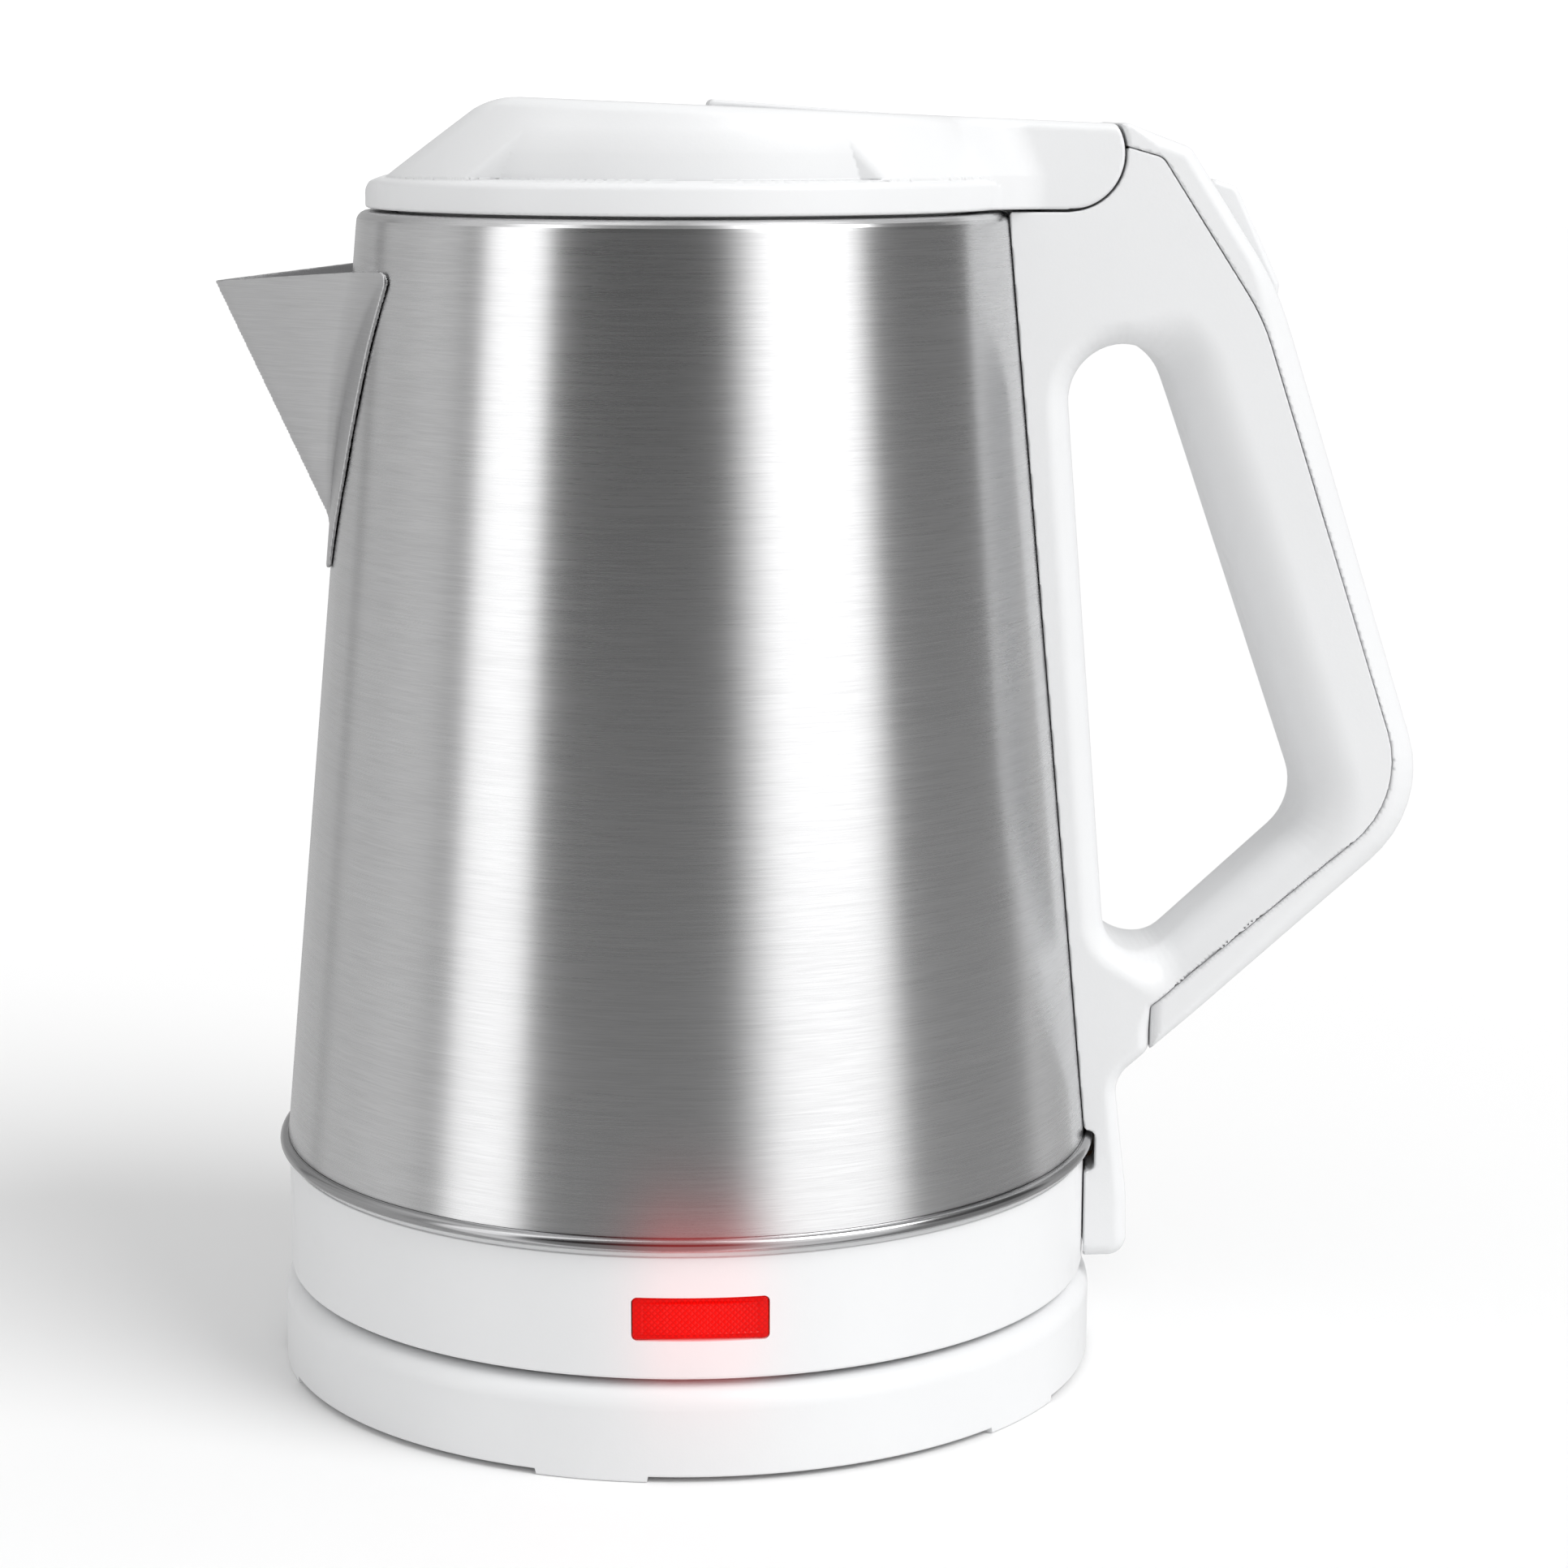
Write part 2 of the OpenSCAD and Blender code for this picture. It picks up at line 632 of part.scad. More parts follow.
module lid_liner() {
  color(white) difference() {
    union() {
      tube(liner_r - 1.8, liner_r, liner_low_z + 1, lid_low_z + 0.4);
      tube(liner_r - 1.8, 54.6, lid_low_z + 0.1, lid_low_z + 1.9);
      disc(liner_r - 1.5, liner_low_z + 1, liner_low_z + 2.4);
    }
    translate([-60, -5.6, 209]) cube([16, 11.2, 3.2]);
  }
}

module lid_plate() {
  color(steel) disc(liner_r - 1, liner_low_z + 0.1, liner_low_z + 0.8);
}

module lid_spring() {
  color(steel) translate([hinge_x, 5.6, hinge_z]) rotate([90, 0, 0]) coil(2.9, 0.45, 6, 11.2);
}

module release_button() {
  color(white) {
    difference() {
      slab(button_w) polygon(rounded([
        [4, 228.6, 0], [4, 231.9, 1.6], [button_back_x - 0.2, 230.5, 0], [button_back_x - 0.2, 228.6, 0]
      ]));
      slab(button_w - 3) polygon([[5.6, 228], [5.6, 229.9], [button_back_x - 2, 229.0], [button_back_x - 2, 228]]);
    }
    across(button_pivot[0], button_pivot[1], 1, button_w + 5.6);
    for (s = [-1, 1]) translate([button_pivot[0] - 1.6, s * (button_w / 2 - 0.75) - 0.75, button_pivot[1] - 1.4]) cube([3.2, 1.5, 3.6]);
    // Finger that works the latch
    translate([5.6, -2.2, 221.5]) cube([2, 4.4, 8.6]);
  }
}

module latch_bolt() {
  color("#d7d8da") {
    translate([-52.6, -5, 209.6]) cube([48.6, 10, 2]);
    translate([-6, -5, 209.6]) cube([2, 10, 15]);
    translate([-6, -3, 222.6]) cube([8, 6, 2]);
  }
}

module latch_spring() {
  color(steel) translate([-3.8, 0, 216]) rotate([0, 90, 0]) coil(2.4, 0.35, 5, 13);
}

base_housing();
base_bottom_plate();
base_connector();
base_contacts();
cord_gland();
base_screws();
coupler_body();
coupler_pin();
coupler_rings();
steel_body();
floor_plate();
diffuser_plate();
heating_element();
control_body();
bimetal_discs();
spout();
lower_collar();
bottom_cover();
bottom_screws();
window_lens();
indicator_lamp();
handle_body();
handle_cover();
handle_bracket();
handle_screws();
steam_seal();
steam_switch();
steam_bimetal();
handle_wires();
hinge_pin();
switch_lever();
lid_shell();
lid_liner();
lid_plate();
lid_spring();
release_button();
latch_bolt();
latch_spring();
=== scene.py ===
"""A cordless electric kettle: a brushed steel jug with a V spout, on a round power base.

Sizes are in millimetres in the kettle's own frame: +Z is up, the spout is at -X,
the handle at +X and the window at -Y. Materials measure in metres.
"""

import json
import math

import bpy
import numpy as np
from mathutils import Matrix, Vector


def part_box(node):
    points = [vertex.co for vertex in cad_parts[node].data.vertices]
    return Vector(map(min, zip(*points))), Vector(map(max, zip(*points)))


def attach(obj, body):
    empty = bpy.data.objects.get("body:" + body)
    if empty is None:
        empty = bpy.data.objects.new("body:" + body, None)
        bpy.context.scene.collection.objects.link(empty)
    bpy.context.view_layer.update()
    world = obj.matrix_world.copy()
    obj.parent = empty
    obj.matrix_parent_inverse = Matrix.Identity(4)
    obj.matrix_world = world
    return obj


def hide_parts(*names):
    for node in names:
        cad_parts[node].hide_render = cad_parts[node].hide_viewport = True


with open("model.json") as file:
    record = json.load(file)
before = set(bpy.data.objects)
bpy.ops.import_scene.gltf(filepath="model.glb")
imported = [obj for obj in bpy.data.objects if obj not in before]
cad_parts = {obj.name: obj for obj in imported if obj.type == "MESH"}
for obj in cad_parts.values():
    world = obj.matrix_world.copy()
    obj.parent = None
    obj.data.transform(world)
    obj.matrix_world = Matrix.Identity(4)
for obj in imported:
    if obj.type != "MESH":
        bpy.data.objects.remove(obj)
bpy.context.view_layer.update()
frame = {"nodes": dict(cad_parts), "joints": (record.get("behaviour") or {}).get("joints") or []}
MM = 0.001


# ---------- White mouldings ----------
# The base, collar, handle and lid are injection moulded in white polypropylene.
# The skin is satin, with a very fine grain from the mould and faint flow shading.


class Wire:
    """A value that runs from node to node in a material. Arithmetic on it adds Math nodes."""

    def __init__(self, tree, socket):
        self.tree = tree
        self.socket = socket

    def make(self, kind, settings=None, sockets=None, out=0):
        """Adds a node of a kind: its settings first, then the values or wires of its sockets."""
        node = self.tree.nodes.new(kind)
        for key, value in (settings or {}).items():
            setattr(node, key, value)
        for key, value in (sockets or {}).items():
            if isinstance(value, Wire):
                self.tree.links.new(value.socket, node.inputs[key])
            else:
                node.inputs[key].default_value = value
        return Wire(self.tree, node.outputs[out])

    def maths(self, operation, *values):
        return self.make("ShaderNodeMath", {"operation": operation}, dict(enumerate(values)))

    def vector(self, operation, other):
        return self.make("ShaderNodeVectorMath", {"operation": operation}, {0: self, 1: other})

    def part(self, axis):
        return self.make("ShaderNodeSeparateXYZ", {}, {0: self}, "XYZ".index(axis))

    def band(self, low, high):
        """0 below low, 1 above high, and a smooth step between."""
        return self.make(
            "ShaderNodeMapRange",
            {"interpolation_type": "SMOOTHSTEP"},
            {"Value": self, "From Min": low, "From Max": high},
        )

    def grain(self, scale, stretch=(1, 1, 1), detail=2.0, roughness=0.5):
        """Noise on this vector, from 0 to 1; scale is in waves a metre."""
        stretched = self.vector("MULTIPLY", tuple(scale * s for s in stretch))
        sockets = {"Vector": stretched, "Scale": 1.0, "Detail": detail, "Roughness": roughness}
        return self.make("ShaderNodeTexNoise", {}, sockets)

    def between(self, first, second):
        """A colour that goes from first to second as this goes from 0 to 1."""
        sockets = {"Factor": self, 6: as_colour(first), 7: as_colour(second)}
        return self.make("ShaderNodeMix", {"data_type": "RGBA"}, sockets, 2)

    def bump(self, height, distance):
        sockets = {"Height": self, "Strength": height, "Distance": distance}
        return self.make("ShaderNodeBump", {}, sockets)

    def __add__(self, other):
        return self.maths("ADD", self, other)

    def __sub__(self, other):
        return self.maths("SUBTRACT", self, other)

    def __rsub__(self, other):
        return self.maths("SUBTRACT", other, self)

    def __mul__(self, other):
        return self.maths("MULTIPLY", self, other)

    __radd__ = __add__
    __rmul__ = __mul__


def as_colour(value):
    return value if isinstance(value, Wire) else (*value, 1)


def finish(name, **steady):
    """A new material.

    Returns it, the wire of places on the piece in metres, and a call that sets the shader's sockets.
    """
    material = bpy.data.materials.new(name)
    material.use_nodes = True
    tree = material.node_tree
    shader = tree.nodes["Principled BSDF"]
    place = Wire(tree, None).make("ShaderNodeTexCoord", out=3)

    def paint(**sockets):
        for key, value in sockets.items():
            socket = shader.inputs[key.replace("_", " ")]
            if isinstance(value, Wire):
                tree.links.new(value.socket, socket)
            else:
                socket.default_value = value

    paint(**steady)
    return material, place, paint


window_low, window_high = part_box("window_lens")
WINDOW_Z = (window_low.z + window_high.z) / 2
LAMP_RED = (1, 0.01, 0.01)
# The lamp's light is even over this half width and half height, and fades over the next two lengths
GLOW_HALF_W = 4 * MM
GLOW_HALF_H = 3 * MM
GLOW_FADE_ACROSS = 8 * MM
GLOW_FADE_UP = 14 * MM


def painted_lamp_glow(place):
    """Painted light: the pilot lamp's red glow on what stands round its window, 1 at the window and 0 some 20
    mm away.
    """
    past_side = place.part("X").maths("ABSOLUTE", place.part("X")) - GLOW_HALF_W
    level = place.part("Z") - WINDOW_Z
    past_edge = level.maths("ABSOLUTE", level) - GLOW_HALF_H
    across = past_side.maths("MAXIMUM", past_side, 0) * (1 / GLOW_FADE_ACROSS)
    up = past_edge.maths("MAXIMUM", past_edge, 0) * (1 / GLOW_FADE_UP)
    fade = (across * across + up * up) * -1
    on_front = (-1 * place.part("Y")).band(0.05, 0.07)
    return fade.maths("EXPONENT", fade) * on_front


def plastic(name, shade, rough, texture=0.35, lit=0.0):
    """Satin moulded plastic: flow shading over some 30 mm, and a mould grain of about half a millimetre. With
    lit, the lamp's red glow is painted on round the window.
    """
    material, place, paint = finish(name, IOR=1.47, Coat_Roughness=0.25)
    flow = place.grain(28, detail=1.5)
    skin = place.grain(1900, detail=2.5, roughness=0.6)
    rubbed = place.grain(95, detail=3).band(0.52, 0.72)
    deep = tuple(c * 0.965 for c in shade)
    paint(
        Base_Color=flow.between(deep, shade),
        Roughness=rough + 0.05 * flow + 0.05 * rubbed + 0.04 * skin,
        Coat_Weight=0.12 * rubbed + 0.06,
        Normal=skin.bump(texture, 0.00004),
    )
    # Painted light: the pilot lamp's glow, as red emission round the window
    if lit:
        paint(Emission_Color=painted_lamp_glow(place).between((0, 0, 0), LAMP_RED), Emission_Strength=lit)
    return material


WHITE = (0.785, 0.79, 0.797)
SATIN = 0.3
white_plastic = plastic("white_plastic", WHITE, SATIN)


# ---------- Power base ----------
# The base is a round shell with a skirt, which stands on five raised stretches of its own edge.
# A plate closes it below, and the connector post rises through its middle.

# Turned pieces have an edge of their mesh every so many degrees, and fold sharply past the crease angle
TURN_STEP = 1.25
CREASE = math.radians(32)


def arc(centre, radius, start, end, steps):
    """Points on a round stretch, with angles in degrees."""
    angles = [math.radians(start + (end - start) * i / steps) for i in range(steps + 1)]
    return [(centre[0] + radius * math.cos(a), centre[1] + radius * math.sin(a)) for a in angles]


def rounded(corners):
    """The points of an outline whose corners are (x, z) or (x, z, radius of the round)."""
    points = []
    for i, here in enumerate(corners):
        if len(here) == 2:
            points.append(here)
            continue
        b = Vector(here[:2])
        u = (Vector(corners[i - 1][:2]) - b).normalized()
        v = (Vector(corners[(i + 1) % len(corners)][:2]) - b).normalized()
        half = u.angle(v) / 2
        centre = b + (u + v).normalized() * here[2] / math.sin(half)
        p = b + u * here[2] / math.tan(half) - centre
        q = b + v * here[2] / math.tan(half) - centre
        start = math.degrees(math.atan2(p.y, p.x))
        turn = (math.degrees(math.atan2(q.y, q.x)) - start + 180) % 360 - 180
        points += arc(centre, here[2], start, start + turn, max(4, math.ceil(abs(turn) / 9)))
    return points


def piece(name, points, faces, material, body, *nodes, slot="white_plastic", normals=None):
    """A mesh from points in millimetres, smooth, riding on its body and standing for its CAD nodes."""
    mesh = bpy.data.meshes.new(name)
    mesh.from_pydata((np.asarray(points) * MM).tolist(), [], [tuple(map(int, f)) for f in faces])
    mesh.shade_smooth()
    mesh.materials.append(material)
    if normals is not None:
        mesh.normals_split_custom_set_from_vertices(normals)
    made = bpy.data.objects.new(name, mesh)
    bpy.context.scene.collection.objects.link(made)
    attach(made, body)
    if nodes:
        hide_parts(*nodes)
    return made


def turned(name, outline, material, body, *nodes, angles=None, slot="white_plastic", drop=None):
    """A piece turned about the kettle's axis from an outline of (radius, height) corners."""
    profile = rounded(outline)
    turns = np.radians(np.arange(0, 360, TURN_STEP) if angles is None else angles)
    points = [
        (r * math.cos(a), r * math.sin(a), z if drop is None else drop(z, a))
        for a in turns
        for r, z in profile
    ]
    n, m = len(profile), len(turns)
    faces = [
        (i * n + j, (i + 1) % m * n + j, (i + 1) % m * n + (j + 1) % n, i * n + (j + 1) % n)
        for i in range(m)
        for j in range(n)
    ]
    made = piece(name, points, faces, material, body, *nodes, slot=slot)
    made.data.set_sharp_from_angle(angle=CREASE)
    made.modifiers.new("even_light", "WEIGHTED_NORMAL").keep_sharp = True
    return made


base_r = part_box("base_housing")[1].x / MM
BASE_TOP = 17
BASE_UNDER = 14.8
BASE_WALL = 2.2
POST_HOLE_R = 17.2
RING_IN, RING_OUT, RING_TOP = 50, 52, 18.7
SKIRT_EDGE = 1.5
SKIRT_LIFT = 1.0
FOOT_ANGLE = 15
FOOT_STEP = 0.08
FOOT_PITCH = 65.5
FIRST_FOOT = -235.5
foot_middles = [FIRST_FOOT + FOOT_PITCH * i for i in range(5)]
foot_edges = [m + side * FOOT_ANGLE / 2 for m in foot_middles for side in (-1, 1)]


def skirt_height(z, angle):
    """The skirt's lower edge is a little higher between the feet."""
    if z > SKIRT_EDGE:
        return z
    turn = math.degrees(angle)
    on_foot = any(abs((turn - m + 180) % 360 - 180) < FOOT_ANGLE / 2 for m in foot_middles)
    return z + (0 if on_foot else SKIRT_LIFT)


base_outline = [
    (POST_HOLE_R, BASE_UNDER),
    (base_r - BASE_WALL, BASE_UNDER, 2),
    (base_r - BASE_WALL, 0, 0.3),
    (base_r, 0, 0.5),
    (base_r, BASE_TOP, 4.2),
    (RING_OUT, BASE_TOP, 0.4),
    (RING_OUT, RING_TOP, 0.5),
    (RING_IN, RING_TOP, 0.5),
    (RING_IN, BASE_TOP, 0.4),
    (POST_HOLE_R, BASE_TOP, 0.5),
]
# Each foot's edge gets two close turns, so that its step stands upright
foot_turns = [(edge + d) % 360 for edge in foot_edges for d in (-FOOT_STEP, FOOT_STEP)]
base_angles = np.sort([*np.arange(0, 360, TURN_STEP), *foot_turns])
# A copy of the white plastic with the pilot lamp's red glow painted on round the window
base_plastic = plastic("lit_base_plastic", WHITE, SATIN, lit=0.12)
turned(
    "base_shell",
    base_outline,
    base_plastic,
    "power_base",
    "base_housing",
    angles=base_angles,
    drop=skirt_height,
)


def coat(material, *nodes):
    """Gives CAD nodes their finish."""
    for node in nodes:
        slots = frame["nodes"][node].data.materials
        slots.clear()
        slots.append(material)


black_plastic = plastic("black_plastic", (0.022, 0.022, 0.024), 0.42, texture=0.5)
coat(white_plastic, "base_bottom_plate", "cord_gland")
coat(black_plastic, "base_connector", "coupler_body", "control_body", "steam_switch")


# ---------- Plain metal parts ----------
# Screws, springs, pins and the inner plates are bought in or stamped, with zinc, brass or mill finishes.
# They are seen when the kettle is lifted off its base or its lid is open.


def metal(name, shade, rough):
    """Plain metal with cloudy tarnish and small rub marks."""
    material, place, paint = finish(name, Metallic=1.0)
    cloud = place.grain(70, detail=3)
    marks = place.grain(420, detail=4, roughness=0.65)
    dull = tuple(c * 0.8 for c in shade)
    paint(
        Base_Color=cloud.between(dull, shade),
        Roughness=rough + 0.08 * cloud + 0.08 * marks,
        Normal=marks.bump(0.15, 0.00005),
    )
    return material


zinc_plate = metal("zinc_plate", (0.63, 0.63, 0.64), 0.24)
coat(zinc_plate, "base_screws", "bottom_screws", "handle_screws", "hinge_pin")
coat(metal("spring_steel", (0.5, 0.5, 0.51), 0.28), "lid_spring", "latch_spring")
coat(metal("contact_brass", (0.78, 0.6, 0.3), 0.3), "base_contacts", "coupler_pin", "coupler_rings")
coat(metal("bimetal", (0.7, 0.55, 0.38), 0.38), "bimetal_discs", "steam_bimetal")
coat(metal("milled_aluminium", (0.76, 0.76, 0.77), 0.42), "diffuser_plate")
coat(metal("heated_sheath", (0.3, 0.27, 0.25), 0.5), "heating_element")
coat(metal("plain_steel", (0.62, 0.62, 0.63), 0.3), "lid_plate", "handle_bracket")


# ---------- Steel jug ----------
# The jug is a cone of stainless sheet, brushed round and round, with its rim folded inwards.
# The brushing leaves fine level lines that spread every highlight up and down.

jug_low, jug_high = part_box("steel_body")
JUG_FOOT_Z = jug_low.z / MM
JUG_RIM_Z = jug_high.z / MM
JUG_FOOT_R = jug_high.x / MM
JUG_RIM_R = 58.9
# A level distance from the leaning wall, times this, is the distance square to it
WALL_LEAN = 0.9956


def jug_radius(z):
    """Outer radius of the steel wall at a height."""
    return JUG_RIM_R + (JUG_FOOT_R - JUG_RIM_R) * (JUG_RIM_Z - z) / (JUG_RIM_Z - JUG_FOOT_Z)


def brushed(name, across, shade, rough, line=1.0, lit=0.0, **steady):
    """Brushed stainless steel. The lines run level where across is (1, 1, fine). With lit, the lamp's red
    glow is painted on round the window.
    """
    material, place, paint = finish(name, Metallic=1.0, **steady)
    lines = place.grain(62, across, detail=4, roughness=0.72)
    threads = place.grain(150, across, detail=3, roughness=0.6)
    patches = place.grain(38, (1, 1, 1.4), detail=2)
    streaks = place.grain(12, across, detail=3, roughness=0.7)
    light = (lines * 0.45 + threads * 0.4 + streaks * 0.15).band(0.34, 0.66)
    dull = tuple(c * 0.84 for c in shade)
    paint(
        Base_Color=light.between(dull, shade),
        Roughness=rough - 0.03 + 0.07 * lines + 0.05 * patches,
        Normal=(lines * 0.6 + threads * 0.4).bump(0.12 * line, 0.00006),
    )
    # Painted light: the pilot lamp's glow, as red emission round the window
    if lit:
        paint(Emission_Color=painted_lamp_glow(place).between((0, 0, 0), LAMP_RED), Emission_Strength=lit)
    return material


# The pilot lamp's red glow is painted on the jug's steel round the window
jug_steel = brushed(
    "jug_steel",
    (1, 1, 55),
    (0.66, 0.66, 0.665),
    0.25,
    lit=0.36,
    Anisotropic=0.8,
    Anisotropic_Rotation=0.25,
)
coat(jug_steel, "steel_body")

# The floor's rolled edge shows as a bright bead round the jug's foot. Its steel is painted darker than the
# jug's as shade for the dark room it mirrors, and it carries the lamp's painted glow.
bead_steel = brushed("bead_steel", (1, 1, 60), (0.4, 0.4, 0.405), 0.15, line=0.4, lit=0.36)
BEAD_Z = 42.2
BEAD_TUBE = 1.2
FLOOR_TOP, FLOOR_UNDER = 44.4, 43.8
FLOOR_HUB_R = 0.01
bead_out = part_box("floor_plate")[1].x / MM
bead_outline = arc((bead_out - BEAD_TUBE, BEAD_Z), BEAD_TUBE, -150, 150, 20) + [
    (73.5, 43.0),
    (70.5, FLOOR_TOP),
    (FLOOR_HUB_R, FLOOR_TOP),
    (FLOOR_HUB_R, FLOOR_UNDER),
    (70.2, FLOOR_UNDER),
    (73.0, 42.4),
]
turned("floor_and_bead", bead_outline, bead_steel, "kettle", "floor_plate", slot="bead_steel")


# ---------- Spout ----------
# The spout is folded from one sheet into a V and spot welded to the jug by a narrow flange.
# Its top edge is open and the fold at the front is tight.


def outline_distance(corners, x, z):
    """Distance from (x, z) to an outline with rounded corners, negative inside it."""
    points = rounded(corners)
    nearest = np.inf
    inside = False
    for (ax, az), (bx, bz) in zip(points, points[1:] + points[:1]):
        ex, ez = bx - ax, bz - az
        px, pz = x - ax, z - az
        t = np.clip((px * ex + pz * ez) / (ex * ex + ez * ez), 0, 1)
        nearest = np.minimum(nearest, (px - t * ex) ** 2 + (pz - t * ez) ** 2)
        crossing = ((az > z) != (bz > z)) & (x < ex * (z - az) / (ez or 1) + ax)
        inside = inside ^ crossing
    return np.where(inside, -1, 1) * np.sqrt(nearest)


def both(a, b, r=0.0):
    """The solid inside both a and b, with a round of radius r on the edge between them."""
    return np.minimum(-r, np.maximum(a, b)) + np.hypot(np.maximum(a + r, 0), np.maximum(b + r, 0))


def either(a, b, r=0.0):
    """The solid inside a or b, with a fillet of radius r in the corner between them."""
    return -both(-a, -b, r)


def cast(name, field, low, high, cell, material, body, *nodes, slot="white_plastic"):
    """Skins the solid where field(x, y, z) is negative, with quads about one cell wide.

    The low and high corners bound the search. The points are then pulled on to the surface.
    """
    counts = [math.ceil((h - l) / cell) + 1 for l, h in zip(low, high)]
    axes = [l + cell * np.arange(n) for l, n in zip(low, counts)]
    grid = np.broadcast_to(field(*np.meshgrid(*axes, indexing="ij", sparse=True)), counts)
    solid = grid < 0
    ends = [slice(None, -1), slice(1, None)]
    corners = [(i, j, k) for i in (0, 1) for j in (0, 1) for k in (0, 1)]
    filled = sum(solid[ends[i], ends[j], ends[k]].astype(np.int8) for i, j, k in corners)
    cells = np.argwhere((filled > 0) & (filled < 8))
    index = np.full([n - 1 for n in counts], -1)
    index[tuple(cells.T)] = np.arange(len(cells))
    # Each point starts at the middle of the places where the surface crosses its cell's edges
    total = np.zeros(cells.shape)
    hits = np.zeros(len(cells))
    for a in corners:
        for axis in range(3):
            if a[axis]:
                continue
            b = list(a)
            b[axis] = 1
            da = grid[tuple((cells + a).T)]
            db = grid[tuple((cells + b).T)]
            cut = (da < 0) != (db < 0)
            share = np.where(cut, da / np.where(cut, da - db, 1), 0)
            spot = np.array(a) * np.ones((len(cells), 3))
            spot[:, axis] = share
            total += spot * cut[:, None]
            hits += cut
    points = np.array(low) + cell * (cells + total / hits[:, None])
    step = 0.04 * cell

    def rise(at):
        """How much the field rises along each axis over two steps."""
        return np.stack([field(*(at + step * e).T) - field(*(at - step * e).T) for e in np.eye(3)], 1)

    for _ in range(3):
        here = field(*points.T)
        slope = rise(points) / (2 * step)
        pull = here / np.maximum((slope**2).sum(1), 0.1)
        points -= np.clip(pull, -0.4 * cell, 0.4 * cell)[:, None] * slope
    slope = rise(points)
    normals = slope / np.maximum(np.linalg.norm(slope, axis=1), 1e-9)[:, None]
    quads = []
    for axis in range(3):
        u, v = (axis + 1) % 3, (axis + 2) % 3
        first = np.take(solid, range(counts[axis] - 1), axis)
        second = np.take(solid, range(1, counts[axis]), axis)
        for flips, edges in ((False, first & ~second), (True, second & ~first)):
            at = np.argwhere(edges)
            above = (at[:, u] > 0) & (at[:, v] > 0)
            at = at[above & (at[:, u] < counts[u] - 1) & (at[:, v] < counts[v] - 1)]
            ring = []
            for du, dv in ((1, 1), (0, 1), (0, 0), (1, 0)):
                corner = at.copy()
                corner[:, u] -= du
                corner[:, v] -= dv
                ring.append(index[tuple(corner.T)])
            quad = np.stack(ring, 1)
            quads.append(quad[:, ::-1] if flips else quad)
    return piece(name, points, np.concatenate(quads), material, body, *nodes, slot=slot, normals=normals)


SHEET = 0.8
TIP = np.array([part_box("spout")[0].x / MM, 0, 200.5])
KEEL = np.array([-jug_radius(155), 0, 155])
SPOUT_SIDE = np.array([-53, 27, 203.6])
spout_normal = np.cross(SPOUT_SIDE - TIP, KEEL - TIP)
spout_normal /= np.linalg.norm(spout_normal)
top_slope = (SPOUT_SIDE[2] - TIP[2]) / (SPOUT_SIDE[0] - TIP[0])
FLANGE_SIDE = [(9.5, 149.4, 3), (17.7, 167), (26, 191), (31, 203.4, 2)]
FLANGE = [(-y, *rest) for y, *rest in FLANGE_SIDE[::-1]] + FLANGE_SIDE
FLANGE_REACH = 2.0
# The fold is eased by this depth over this width
FOLD_DEPTH, FOLD_W = 0.25, 1.2
# The fillet between spout and wall grows from the fold's foot upwards
FILLET_FOOT, FILLET_GAIN = 0.5, 1.8
FILLET_FROM, FILLET_OVER = 152, 30


def spout_field(x, y, z):
    side = spout_normal[0] * (x - TIP[0]) + spout_normal[1] * np.abs(y) + spout_normal[2] * (z - TIP[2])
    wedge = side + FOLD_DEPTH * np.exp(-((y / FOLD_W) ** 2))
    wall = (np.hypot(x, y) - jug_radius(z)) * WALL_LEAN - SHEET
    fillet = FILLET_FOOT + FILLET_GAIN * np.clip((z - FILLET_FROM) / FILLET_OVER, 0, 1)
    skin = either(wedge, wall, fillet)
    sheet = np.maximum(skin, -(skin + SHEET - 0.1))
    sheet = both(sheet, z - TIP[2] - top_slope * (x - TIP[0]), 0.2)
    flange = outline_distance(FLANGE, y, z)
    clear_of_wall = FLANGE_REACH - (np.hypot(x, y) - jug_radius(z))
    return both(sheet, either(flange, clear_of_wall, 0.5), 0.2)


spout_steel = brushed(
    "spout_steel", (1, 1, 70), (0.6, 0.6, 0.605), 0.3, Anisotropic=0.5, Anisotropic_Rotation=0.25
)
spout = cast(
    "spout_sheet",
    spout_field,
    (-85.6, -32.4, 147),
    (-50, 32.4, 204.6),
    0.3,
    spout_steel,
    "kettle",
    "spout",
    slot="spout_steel",
)
# Its inside is the face of the sheet with fainter lines, and its darker colour is painted shade for the
# shadow inside the spout
spout_inside_painted_shade = brushed("spout_inside_painted_shade", (1, 1, 70), (0.34, 0.34, 0.345), 0.2, line=0.4)
spout.data.materials.append(spout_inside_painted_shade)
# Faces that look into the spout's mouth take the painted shade
INSIDE_FROM_X = -56 * MM
for face in spout.data.polygons:
    inward = face.center.y * face.normal.y < 0 and abs(face.normal.y) > 0.3
    face.material_index = int(inward and face.center.x < INSIDE_FROM_X)


# ---------- Collar, underside and pilot window ----------
# The collar is a moulded ring under the bead, with a lit window at the front.
# The window is a clear red moulding with a cross-hatched face, and a neon lamp stands behind it.

